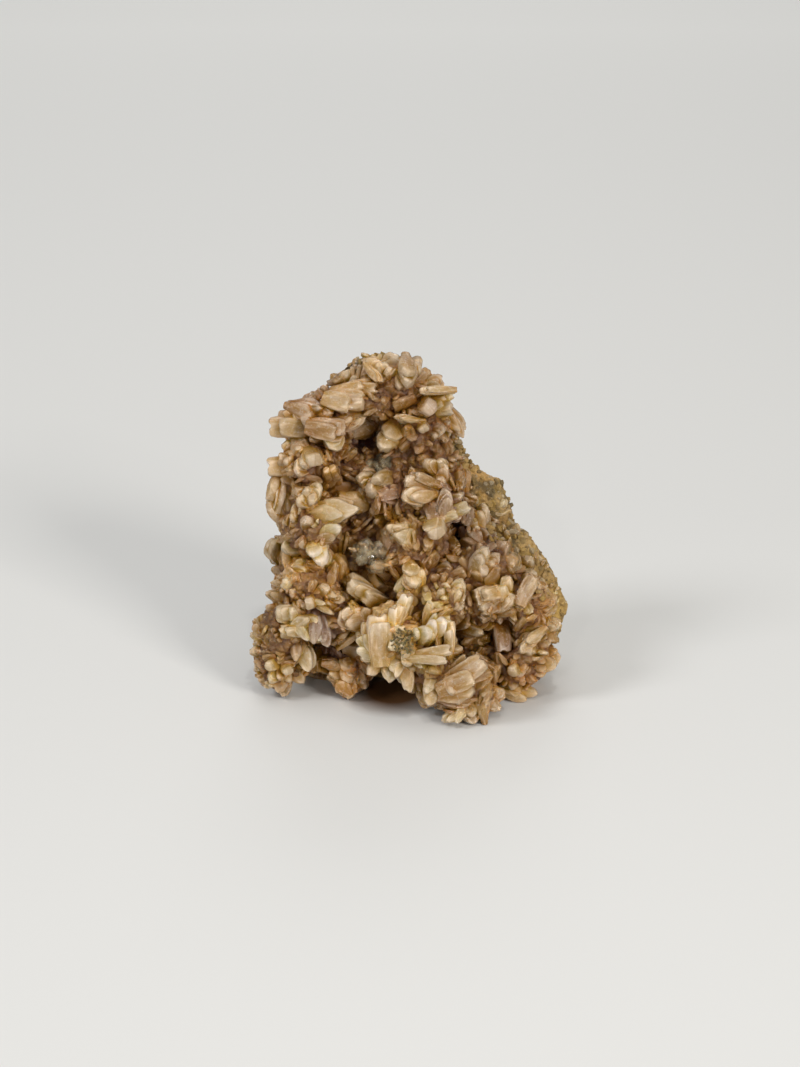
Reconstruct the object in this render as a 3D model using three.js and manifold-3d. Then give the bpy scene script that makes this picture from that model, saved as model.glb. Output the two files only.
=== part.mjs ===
// A hand specimen: peach stilbite with two groups of clear apophyllite, grown on a broken crust of basalt.
// Millimetres, +Z up, resting on z = 0 with the origin under the middle of its box.
import * as THREE from "three";
import { mergeVertices } from "three/addons/utils/BufferGeometryUtils.js";
import Module from "manifold-3d";

const wasm = await Module();
wasm.setup();

// The crystals are laid out on the display face, which leans back from the vertical.
// across runs right, along runs up the face, and proud stands out of it, towards the viewer.
const leanBack = 22;
const faceDrop = 5.25;
const standAcross = 0.6;
const standDepth = 9.5;

// Between a crystal and what it grows on, and how wide a blade must be to show six sides.
const gap = 0.3;
const sixSidedFrom = 3.9;

// A blade's half width at its shoulder and its tip, and the shoulder's place, as shares of its size.
const shoulderShare = 0.55;
const tipShare = 0.38;
const shoulderPlace = 0.18;

// The point that a slab's spokes run from, and how square its edge is: 2 is round.
const spokeCentre = [4, 40];
const boxiness = 3;

// Stilbite blades: [across, along, proud, lean, out, length, width, thick, turn]. The first three are
// the tip's place. lean is the way it points on the face (0 right, 90 up) and out the way it points
// out of it, in degrees. turn is its roll: 90 shows its edge.
const sheaves = {
  shelf: [
    [-29.4, 63.0, 9, 180, 5, 11, 4.4, 3.0, 0],
    [-20.4, 63.4, 14, -15, 35, 9, 5.4, 4.0, 0],
    [-24.3, 68.8, 8, 160, 10, 8, 3.2, 2.2, 0],
    [-16.6, 67.4, 13, -18, 25, 9, 3.6, 3.0, 0],
    [-12.7, 62.7, 14, -3, 5, 10, 3.8, 3.2, 0],
    [-6.2, 70.8, 14, 3, 12, 12, 2.8, 2.6, 0],
    [-8.8, 68.2, 15, -3, 12, 11, 4.2, 3.4, 0],
    [-8.4, 65.0, 12, 20, 8, 10, 3.4, 3.2, 0],
    [-6.3, 64.9, 10, -62, 25, 8, 3.0, 2.6, 0],
    [-15.0, 57.7, 13, -82, 25, 7, 4.4, 2.0, 0],
    [-19.2, 55.7, 14, -50, 62, 9, 4.8, 4.4, 0],
    [-29.9, 54.6, 7, 182, 5, 11, 4.4, 3.4, 0],
    [-23.0, 52.8, 13, 240, 50, 8, 4.0, 2.8, 0],
    [-26.6, 59.4, 8, 165, 20, 9, 3.6, 2.8, 0],
    [-27.2, 51.8, 7, 190, 20, 9, 3.4, 2.8, 0],
  ],
  crown: [
    [-3.6, 78.9, 8, 95, 5, 10, 5.4, 4.2, 0],
    [-8.2, 77.6, 8, 120, 5, 9, 4.6, 3.6, 0],
    [0.2, 77.2, 9, 70, 10, 9, 4.4, 3.6, 0],
    [0.3, 71.2, 14, -80, 45, 9, 4.0, 3.6, 0],
    [2.6, 75.8, 12, 35, 45, 8, 3.8, 3.2, 0],
    [7.4, 73.6, 8, 30, 15, 8, 3.4, 3.0, 0],
    [4.8, 66.8, 13, -20, 72, 8, 5.2, 4.4, 0],
    [9.4, 67.0, 9, 8, 25, 8, 3.2, 2.6, 0],
    [9.6, 70.2, 8, 15, 15, 8, 2.8, 2.6, 0],
    [3.4, 62.2, 12, -60, 60, 8, 3.4, 2.4, 0],
    [7.6, 62.6, 11, 20, 55, 8, 2.8, 2.4, 0],
    [11.8, 61.4, 6, -40, 20, 9, 3.0, 2.6, 0],
    [-4.4, 74.6, 12, 130, 60, 8, 3.6, 2.8, 0],
    [-5.2, 57.9, 10, -112, 30, 8, 4.8, 3.2, 0],
  ],
  column: [
    [-27.4, 44.6, 7, 262, 8, 10, 3.0, 3.4, 70],
    [-28.0, 50.2, 6, 112, 8, 9, 3.2, 3.2, 60],
    [-23.6, 49.8, 11, 150, 40, 8, 3.4, 2.8, 0],
    [-23.0, 46.8, 13, 200, 55, 8, 3.6, 3.0, 0],
    [-18.4, 51.2, 12, 60, 35, 9, 3.8, 3.2, 0],
    [-10.2, 45.6, 13, 3, 20, 12, 5.2, 3.0, 0],
    [-14.0, 42.2, 14, 25, 30, 7, 3.2, 1.4, 0],
    [-26.8, 37.6, 7, 190, 25, 9, 4.4, 3.2, 0],
    [-22.5, 38.8, 11, 170, 60, 8, 3.6, 3.0, 0],
    [-24.6, 28.6, 11, 160, 45, 9, 3.2, 2.4, 0],
    [-20.6, 26.0, 13, 220, 70, 8, 3.8, 3.0, 0],
    [-17.0, 29.6, 13, 40, 60, 7, 3.2, 2.4, 0],
    [-21.4, 43.6, 13, 120, 65, 8, 3.8, 2.8, 0],
    [-17.2, 38.0, 12, -20, 55, 7, 3.2, 2.6, 0],
    [-30.4, 28.0, 4, 165, 10, 8, 2.8, 2.2, 0],
    [-17.6, 34.2, 14, -70, 50, 9, 3.8, 2.8, 0],
    [-26.4, 30.9, 10, 150, 25, 10, 3.0, 2.6, 0],
    [-13.2, 26.6, 12, -20, 35, 9, 2.8, 2.4, 0],
    [-12.2, 30.0, 12, 150, 50, 14, 3.8, 3.4, 0],
    [-15.0, 22.6, 11, 186, 20, 9, 5.4, 3.2, 0],
    [-12.0, 25.0, 11, 140, 25, 8, 3.6, 2.8, 0],
  ],
  rosette: [
    [-27.8, 23.9, 9, 180, 15, 10, 4.2, 3.2, 0],
    [-27.2, 20.0, 9, 182, 15, 9, 3.2, 2.6, 0],
    [-18.2, 18.2, 11, -40, 20, 9, 2.8, 2.2, 0],
    [-17.0, 16.8, 10, -78, 10, 10, 3.4, 2.8, 0],
    [-18.6, 23.0, 11, 20, 30, 8, 3.4, 2.6, 0],
    [-20.8, 11.2, 6, -72, 10, 10, 3.4, 2.8, 0],
    [-33.2, 22.4, 1, 140, 5, 8, 3.0, 2.4, 0],
    [-33.8, 19.2, 2, 165, 10, 8, 3.0, 2.4, 0],
    [-33.9, 15.4, 2, 178, 10, 8, 3.2, 2.6, 0],
    [-33.0, 11.4, 2, 205, 10, 8, 3.0, 2.6, 0],
    [-30.6, 7.6, 2, 232, 8, 8, 3.2, 2.6, 0],
    [-26.4, 5.6, 1.5, 268, 5, 8, 3.4, 2.8, 0],
    [-21.8, 9.0, 3, -35, 10, 8, 3.2, 2.4, 0],
    [-29.6, 12.6, 7, 190, 60, 7, 3.2, 2.4, 20],
    [-25.2, 11.4, 7, -60, 60, 7, 3.4, 2.4, 0],
    [-30.2, 25.4, 4, 150, 15, 8, 2.8, 2.2, 0],
  ],
  middleFoot: [
    [-17.4, 9.9, 2.5, 190, 10, 6, 2.8, 2.4, 0],
    [-15.4, 6.6, 2.2, 232, 10, 7, 2.8, 2.4, 0],
    [-12.4, 5.2, 2.2, 270, 10, 8, 3.8, 3.0, 0],
    [-8.6, 7.6, 1.5, -50, 5, 7, 3.0, 2.4, 0],
    [-12.6, 9.4, 6.5, -90, 55, 8, 3.8, 3.0, 0],
  ],
  paleHead: [
    [-6.3, 24.2, 16, 93, 8, 11, 4.8, 3.4, 0],
    [-9.2, 22.4, 14, 112, 8, 9, 3.0, 2.6, 0],
    [-10.8, 19.0, 14, 150, 10, 8, 3.0, 2.4, 0],
    [0.1, 28.2, 16, 68, 10, 11, 2.8, 2.4, 0],
    [-2.6, 25.8, 17, 84, 15, 12, 2.8, 2.6, 0],
    [-4.2, 17.2, 18, 200, 30, 8, 3.4, 2.4, 0],
    [-8.2, 11.0, 13, 232, 12, 10, 3.6, 2.6, 0],
    [-4.2, 9.6, 14, 262, 12, 10, 4.0, 2.8, 0],
    [-9.8, 14.4, 14, 205, 15, 9, 3.4, 2.6, 0],
    [0.2, 7.8, 15, 278, 15, 10, 3.2, 2.8, 0],
    [7.4, 23.4, 18, 60, 35, 8, 3.4, 2.6, 0],
    [4.6, 20.6, 19, 30, 55, 8, 3.8, 2.8, 0],
    [5.6, 13.0, 17, -40, 35, 8, 3.6, 2.6, 0],
    [-0.6, 13.6, 18, 250, 50, 8, 3.6, 2.6, 0],
    [4.4, 4.8, 15, 262, 15, 9, 3.8, 2.4, 0],
  ],
  heart: [
    [-8.2, 49.0, 11, 215, 50, 9, 4.6, 4.2, 0],
    [-10.6, 52.6, 9, 160, 45, 8, 4.0, 3.4, 0],
    [-5.0, 53.2, 9, 60, 35, 8, 4.2, 3.0, 0],
    [3.5, 55.6, 11, 150, 55, 8, 3.4, 3.0, 0],
    [7.2, 55.6, 9, 80, 30, 9, 4.2, 3.2, 0],
    [-0.9, 51.6, 12, 172, 25, 8, 2.8, 2.6, 0],
    [-1.4, 48.2, 13, 185, 30, 8, 4.0, 3.2, 0],
    [2.6, 46.4, 12, -60, 45, 7, 3.2, 2.6, 0],
    [7.8, 50.2, 11, 85, 20, 9, 3.6, 2.8, 0],
    [13.2, 46.4, 10, 18, 10, 11, 2.8, 2.6, 0],
    [11.4, 49.0, 10, 40, 35, 8, 3.4, 2.8, 0],
    [6.1, 40.4, 15, -80, 68, 10, 5.4, 5.0, 0],
    [-4.6, 42.2, 12, 160, 22, 11, 4.6, 3.2, 0],
    [0.9, 34.6, 13, 96, 15, 8, 3.4, 2.4, 0],
    [2.0, 29.6, 15, -70, 40, 7, 3.8, 2.6, 0],
    [3.8, 33.8, 11, 62, 15, 8, 3.4, 2.6, 0],
    [8.0, 30.8, 14, 72, 20, 9, 3.6, 2.8, 0],
    [11.6, 31.2, 14, 56, 20, 9, 4.0, 3.0, 0],
    [11.6, 26.0, 15, 0, 40, 8, 3.8, 3.0, 0],
    [8.6, 34.6, 9, 60, 30, 8, 4.4, 3.0, 0],
  ],
  rightSide: [
    [16.2, 38.0, 11, 70, 25, 10, 4.2, 3.2, 0],
    [19.4, 36.2, 10, 35, 25, 9, 3.6, 2.8, 0],
    [16.0, 33.2, 12, 20, 65, 8, 4.0, 3.0, 0],
    [18.6, 28.6, 11, -30, 60, 8, 3.4, 2.8, 0],
    [26.0, 18.4, 9, 60, 55, 8, 3.8, 3.0, 0],
    [21.6, 11.6, 9, 200, 60, 8, 3.6, 2.8, 0],
    [28.4, 21.0, 7, 30, 35, 8, 3.2, 2.6, 0],
    [16.2, 47.0, 5, 80, 25, 8, 3.2, 2.6, 0],
    [20.6, 31.8, 10, 88, 20, 8, 2.8, 2.4, 0],
    [13.6, 27.2, 12, 190, 35, 10, 4.0, 3.2, 0],
    [14.8, 24.6, 12, 200, 40, 10, 3.0, 2.6, 0],
    [22.6, 27.4, 11, 25, 30, 9, 3.8, 2.8, 0],
    [26.4, 24.4, 9, -20, 25, 8, 3.6, 2.6, 0],
    [15.6, 19.8, 9, -10, 50, 11, 3.2, 2.8, 0],
    [32.5, 14.0, 3, 2, 8, 9, 5.2, 3.4, 0],
    [28.8, 10.4, 3, -20, 10, 8, 3.2, 2.8, 0],
    [27.8, 6.7, 1.6, -6, 5, 9, 3.2, 3.0, 0],
    [23.4, 5.6, 2.2, -80, 8, 8, 3.8, 3.0, 0],
    [33.0, 21.6, 0, 5, 5, 8, 3.6, 3.0, 0],
  ],
  bowFoot: [
    [15.8, 14.8, 17, 34, 12, 12, 4.4, 3.2, 0],
    [13.8, 8.6, 17, 10, 20, 10, 4.6, 3.2, 0],
    [10.4, 5.2, 16, -75, 20, 9, 4.0, 3.0, 0],
    [6.8, 1.7, 13, 205, 10, 8, 2.8, 2.6, 0],
    [9.6, 0.3, 13, 250, 8, 8, 3.0, 2.8, 0],
    [14.0, 0.9, 12.5, -62, 8, 9, 4.2, 3.2, 0],
    [19.6, 3.8, 10, -30, 10, 10, 3.8, 3.0, 0],
    [20.4, 7.6, 10, 10, 20, 8, 3.2, 2.6, 0],
  ],
};

// The druse under the blades: its outline on the face, its front and back sheets, each [proud at the
// spokes' centre, per mm across, per mm along], and the roughness of its skin.
const druseOutline = [
  [-8, 76], [2, 74], [7, 67], [8.5, 60], [12, 50], [17, 43], [23, 35], [28, 28], [30, 18], [26, 11], [18, 8],
  [9, 10], [0, 13], [-9, 17], [-17, 18], [-25, 20], [-28, 28], [-27, 40], [-26, 52], [-24, 64], [-16, 72],
];
const druseFront = [5, 0.1, 0.14];
const druseBack = [-7, 0.1, 0.2];
const druseRoughness = 1.2;

// The lumps that swell out of the druse: [across, along, proud, half width, half height, half depth].
const druseLumps = [
  [-3, 71, 5, 8, 6, 7],
  [3, 63, 4, 6, 7, 7],
  [-16, 65, 6, 8, 5, 7.5],
  [-9, 68, 9, 6, 4.5, 5.5],
  [-20, 55, 5, 6.5, 6, 7.5],
  [-20, 43, 5, 7, 8, 7.5],
  [-2, 49, 4, 8, 6, 7],
  [7, 46, 4, 6, 8, 6.5],
  [2, 38, 5, 7, 7, 8],
  [15, 33, 4, 8, 7, 7],
  [-20, 29, 5, 7, 7, 7.5],
  [7, 27, 8, 7, 6, 8],
  [-2, 19, 9, 7, 7, 8.5],
  [-14, 23, 4, 7, 5, 7],
  [-16, 18.5, -2.5, 5.5, 5, 6.5],
  [5, 13, 9, 5, 8, 8],
  [12.5, 8, 8, 6.5, 6.5, 7.5],
  [23, 15, 2, 8, 7, 6.5],
  [24, 25, 3, 6, 6, 6.5],
  [16, 26, 4, 5.5, 5.5, 6],
  [-26, 20, 3, 5.5, 6, 6],
  [-27.5, 14, 1, 5.5, 6.5, 5],
  [-13, 13, -0.5, 4.8, 6.5, 5.5],
];

// Clear apophyllite: [across, along, proud, lean, out, width, height], placed by the tip as a blade is.
const clearCrystals = {
  apophyllite_lower: [
    [-9.0, 36.6, 9.5, 70, 60, 5.6, 6.4],
    [-5.4, 37.2, 9, 40, 50, 4.0, 5.0],
    [-6.4, 33.4, 9.5, -60, 55, 4.4, 5.2],
    [-11.4, 34.0, 8, 160, 50, 3.4, 4.4],
    [-3.4, 34.4, 9, 10, 45, 3.2, 4.4],
  ],
  apophyllite_upper: [
    [-6.4, 55.6, 6, 100, 60, 4.2, 4.8],
    [-4.0, 56.4, 6.5, 40, 50, 3.2, 4.2],
    [-8.8, 55.0, 5.5, 170, 50, 3.0, 4.0],
  ],
};

// The share of a clear crystal's height and of its width that its cut-off pyramid takes.
const pyramidHeight = 0.28;
const pyramidTop = 0.45;

// The basalt behind the druse: its outline on the face, its two sheets, and its roughness.
const basaltOutline = [
  [-8, 80.5], [1, 77], [8, 71], [10.5, 64], [13.5, 56.5], [20, 52], [23.5, 43.5], [30, 36], [35, 29],
  [35, 19], [29, 13], [12, 11], [-4, 11], [-16, 14], [-22, 23], [-22.5, 42], [-22, 58], [-20, 70], [-15, 77],
];
const basaltFront = [0, 0.1, 0.16];
const basaltBack = [-16, 0.1, 0.3];
const basaltRoughness = 2;

// The planes that the basalt broke along behind: [across, along, proud] of a point on each, and the
// way it faces in the same directions.
const fractures = [
  [[-10, 52, -10], [-0.45, 0.3, -1]],
  [[18, 40, -12.5], [0.55, 0.45, -1]],
  [[24, 22, -16], [0.5, -0.1, -1]],
  [[-14, 30, -16], [-0.6, -0.05, -1]],
  [[4, 68, -4.5], [0.3, 0.7, -1]],
  [[6, 30, -19], [0, 0.2, -1]],
];

// A repeatable number from 0 to 1 for each seed.
const chance = (seed) => {
  const s = Math.sin(seed * 127.1 + 311.7) * 43758.5453;
  return s - Math.floor(s);
};

const rad = THREE.MathUtils.degToRad;

// From the display face to the part's frame.
const faceToPart = new THREE.Matrix4()
  .makeTranslation(-standAcross, -standDepth, -faceDrop)
  .multiply(new THREE.Matrix4().makeRotationX(rad(90 - leanBack)));

// A geometry with only its positions, each corner stored once.
function welded(geometry) {
  geometry.deleteAttribute("normal");
  geometry.deleteAttribute("uv");
  return mergeVertices(geometry, 1e-4);
}

// A closed geometry as a solid.
function solid(geometry) {
  const shell = welded(geometry.clone());
  const corners = shell.index.array;
  const triVerts = [];
  for (let i = 0; i < corners.length; i += 3) {
    const [a, b, c] = corners.slice(i, i + 3);
    if (a !== b && b !== c && c !== a) triVerts.push(a, b, c);
  }
  const vertProperties = shell.attributes.position.array;
  return new wasm.Manifold(
    new wasm.Mesh({ numProp: 3, vertProperties, triVerts: new Uint32Array(triVerts) }),
  );
}

// A solid back as a geometry.
function geometryOf(made) {
  const { numProp, numVert, vertProperties, triVerts } = made.getMesh();
  const points = [];
  for (let i = 0; i < numVert; i++) points.push(...vertProperties.slice(i * numProp, i * numProp + 3));
  const geometry = new THREE.BufferGeometry();
  geometry.setAttribute("position", new THREE.Float32BufferAttribute(points, 3));
  geometry.setIndex([...triVerts]);
  geometry.computeVertexNormals();
  return geometry;
}

// Shapes laid out on the display face, as solids in the part's frame.
const onPart = (geometry) => solid(geometry.clone().applyMatrix4(faceToPart));
const joined = (geometries) => wasm.Manifold.union(geometries.map(onPart));

// The frame of a crystal: its length along Y, width along X and thickness along Z, its tip at the origin.
function crystalFrame(across, along, proud, lean, out, turn) {
  const aim = new THREE.Vector3(
    Math.cos(rad(out)) * Math.cos(rad(lean)),
    Math.cos(rad(out)) * Math.sin(rad(lean)),
    Math.sin(rad(out)),
  );
  const wide = new THREE.Vector3(Math.sin(rad(lean)), -Math.cos(rad(lean)), 0).applyAxisAngle(aim, rad(turn));
  const thick = new THREE.Vector3().crossVectors(wide, aim);
  return new THREE.Matrix4().makeBasis(wide, aim, thick).setPosition(across, along, proud);
}

// A turned profile with few sides, its section drawn out to a width and a thickness.
function prism(profile, sides, width, thick) {
  const spread = 1 / Math.cos(Math.PI / sides);
  const firstCorner = sides === 4 ? Math.PI / 4 : 0;
  const points = profile.map(([x, y]) => new THREE.Vector2(x, y));
  return new THREE.LatheGeometry(points, sides, firstCorner)
    .scale(width * (sides === 4 ? spread : 1), 1, thick * spread);
}

// A stilbite blade: pointed at the root, widest at its shoulder, blunt at the tip.
function blade([across, along, proud, lean, out, length, width, thick, turn]) {
  const profile = [[0, -length], [shoulderShare, -shoulderPlace * length], [tipShare, 0], [0, 0]];
  return prism(profile, width < sixSidedFrom ? 4 : 6, width, thick)
    .applyMatrix4(crystalFrame(across, along, proud, lean, out, turn));
}

// A clear crystal: a square prism with a cut-off pyramid. extra is the room left round it.
function clearCrystal([across, along, proud, lean, out, width, height], extra) {
  const profile = [
    [0, -height - extra], [0.5, -height - extra], [0.5, -pyramidHeight * height + extra],
    [0.5 * pyramidTop, extra], [0, extra],
  ];
  return prism(profile, 4, width + 2 * extra, width + 2 * extra)
    .applyMatrix4(crystalFrame(across, along, proud, lean, out, 0));
}

// A rough lump.
function lump([across, along, proud, halfWidth, halfHeight, halfDepth], index) {
  const ball = welded(new THREE.OctahedronGeometry(1, 1)).rotateX(index).rotateY(2 * index);
  const place = ball.attributes.position;
  for (let i = 0; i < place.count; i++) {
    const rough = 0.86 + 0.22 * chance(i + 1000 * index);
    place.setXYZ(i, place.getX(i) * rough, place.getY(i) * rough, place.getZ(i) * rough);
  }
  return ball.scale(halfWidth, halfHeight, halfDepth).translate(across, along, proud);
}

// A slab with a rounded edge: a ball drawn out to an outline on the face and to its two sheets.
function slab(outline, frontSheet, backSheet, detail, roughness, extra) {
  const [middleAcross, middleAlong] = spokeCentre;
  const rim = new THREE.CatmullRomCurve3(
    outline.map(([across, along]) => new THREE.Vector3(across - middleAcross, along - middleAlong, 0)), true,
  ).getPoints(240);
  const reach = (aim) => rim.reduce((best, p) => (p.angleTo(aim) < best.angleTo(aim) ? p : best)).length();
  const sheetAt = ([proud, perAcross, perAlong], p) => proud + perAcross * p.x + perAlong * p.y;
  const ball = welded(new THREE.IcosahedronGeometry(1, detail));
  const place = ball.attributes.position;
  for (let i = 0; i < place.count; i++) {
    const spoke = new THREE.Vector3(place.getX(i), place.getY(i), 0);
    const share = spoke.length();
    const swell = (share ** boxiness + Math.abs(place.getZ(i)) ** boxiness) ** (-1 / boxiness);
    spoke.normalize();
    spoke.multiplyScalar(share * swell * (reach(spoke) + extra) + roughness * (chance(i) - 0.5));
    const front = sheetAt(frontSheet, spoke);
    const back = sheetAt(backSheet, spoke);
    const half = ((front - back) / 2 + extra) * swell * place.getZ(i);
    const proud = (front + back) / 2 + half + roughness * (chance(i + 5000) - 0.5);
    place.setXYZ(i, middleAcross + spoke.x, middleAlong + spoke.y, proud);
  }
  return ball;
}

// The ground that the specimen stands on.
const ground = solid(new THREE.BoxGeometry(200, 200, 40).translate(0, 0, -20));

const clearGroups = Object.entries(clearCrystals).map(([name, crystals]) => [
  name,
  joined(crystals.map((crystal) => clearCrystal(crystal, 0))),
]);
const pockets = joined(Object.values(clearCrystals).flat().map((crystal) => clearCrystal(crystal, gap)));

// What has broken away beyond a plane.
function brokenOff([point, way]) {
  const facing = new THREE.Quaternion().setFromUnitVectors(
    new THREE.Vector3(0, 0, 1), new THREE.Vector3(...way).normalize(),
  );
  return new THREE.BoxGeometry(150, 150, 60).translate(0, 0, 30).applyQuaternion(facing).translate(...point);
}

const stone = (extra) => onPart(slab(basaltOutline, basaltFront, basaltBack, 4, basaltRoughness, extra));
const basalt = stone(0).subtract(joined(fractures.map(brokenOff))).subtract(pockets).subtract(ground);

const druse = slab(druseOutline, druseFront, druseBack, 3, druseRoughness, 0);
const stilbite = joined([druse, ...druseLumps.map(lump), ...Object.values(sheaves).flat().map(blade)])
  .subtract(stone(gap))
  .subtract(pockets)
  .subtract(ground);

// What stays of a cut solid once loose chips are brushed off it.
const biggest = (made) => made.decompose().sort((a, b) => b.volume() - a.volume())[0];

const materials = {
  stilbite: new THREE.MeshStandardMaterial({ color: 0xc49a6c, roughness: 0.4, metalness: 0 }),
  apophyllite: new THREE.MeshStandardMaterial({ color: 0xd8dccb, roughness: 0.06, metalness: 0 }),
  basalt: new THREE.MeshStandardMaterial({ color: 0x6f5d3c, roughness: 0.9, metalness: 0 }),
};

const specimen = new THREE.Group();
const add = (name, made, material) => {
  const mesh = new THREE.Mesh(geometryOf(made), material);
  mesh.name = name;
  specimen.add(mesh);
};
add("stilbite", biggest(stilbite), materials.stilbite);
add("basalt_matrix", biggest(basalt), materials.basalt);
for (const [name, made] of clearGroups) add(name, made, materials.apophyllite);

export default specimen;
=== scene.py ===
import math
import random

import bmesh
import bpy
import numpy as np
from mathutils import Matrix, Vector, noise
from mathutils.bvhtree import BVHTree
from mathutils.kdtree import KDTree


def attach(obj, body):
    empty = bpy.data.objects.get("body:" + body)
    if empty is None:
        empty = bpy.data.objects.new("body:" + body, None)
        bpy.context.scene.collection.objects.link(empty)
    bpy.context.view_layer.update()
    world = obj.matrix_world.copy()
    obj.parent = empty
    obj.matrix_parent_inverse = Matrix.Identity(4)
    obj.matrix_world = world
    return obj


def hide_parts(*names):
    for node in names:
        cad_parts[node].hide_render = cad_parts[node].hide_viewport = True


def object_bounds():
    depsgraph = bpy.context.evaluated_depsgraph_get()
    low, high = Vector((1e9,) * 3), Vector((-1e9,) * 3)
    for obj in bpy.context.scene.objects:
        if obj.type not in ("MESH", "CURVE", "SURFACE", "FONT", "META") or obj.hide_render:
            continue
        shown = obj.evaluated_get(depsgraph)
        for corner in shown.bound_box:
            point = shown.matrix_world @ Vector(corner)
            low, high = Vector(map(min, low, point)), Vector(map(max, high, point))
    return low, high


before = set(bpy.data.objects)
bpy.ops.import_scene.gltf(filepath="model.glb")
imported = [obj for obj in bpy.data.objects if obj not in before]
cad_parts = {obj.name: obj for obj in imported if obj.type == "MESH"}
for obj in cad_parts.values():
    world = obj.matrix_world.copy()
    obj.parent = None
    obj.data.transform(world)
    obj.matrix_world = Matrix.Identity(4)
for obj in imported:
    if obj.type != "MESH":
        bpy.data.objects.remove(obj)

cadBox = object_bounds()
scene = bpy.context.scene
# without it, noise vectors differ from run to run
noise.seed_set(7)

# Crystals are laid out in millimetres on the display face: across runs right, along runs up the face,
# proud stands out of it. The face leans back, and the part stands under the middle of its box.
face = {"lean": 22, "drop": 5.25, "across": 0.6, "depth": 9.5}
faceToPart = (
    Matrix.Scale(0.001, 4)
    @ Matrix.Translation((-face["across"], -face["depth"], -face["drop"]))
    @ Matrix.Rotation(math.radians(90 - face["lean"]), 4, "X")
)
partToFace = faceToPart.inverted()

# linear colours of the crystals, before the painted shade at their roots and the painted highlight on their
# rims
tints = {
    "peach": (0.65, 0.43, 0.205),
    "pale": (0.72, 0.55, 0.365),
    "pink": (0.71, 0.54, 0.355),
    "amber": (0.62, 0.39, 0.145),
    "tan": (0.58, 0.385, 0.16),
    "brown": (0.48, 0.29, 0.09),
    "olive": (0.52, 0.36, 0.15),
    "white": (0.80, 0.695, 0.595),
}

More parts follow.
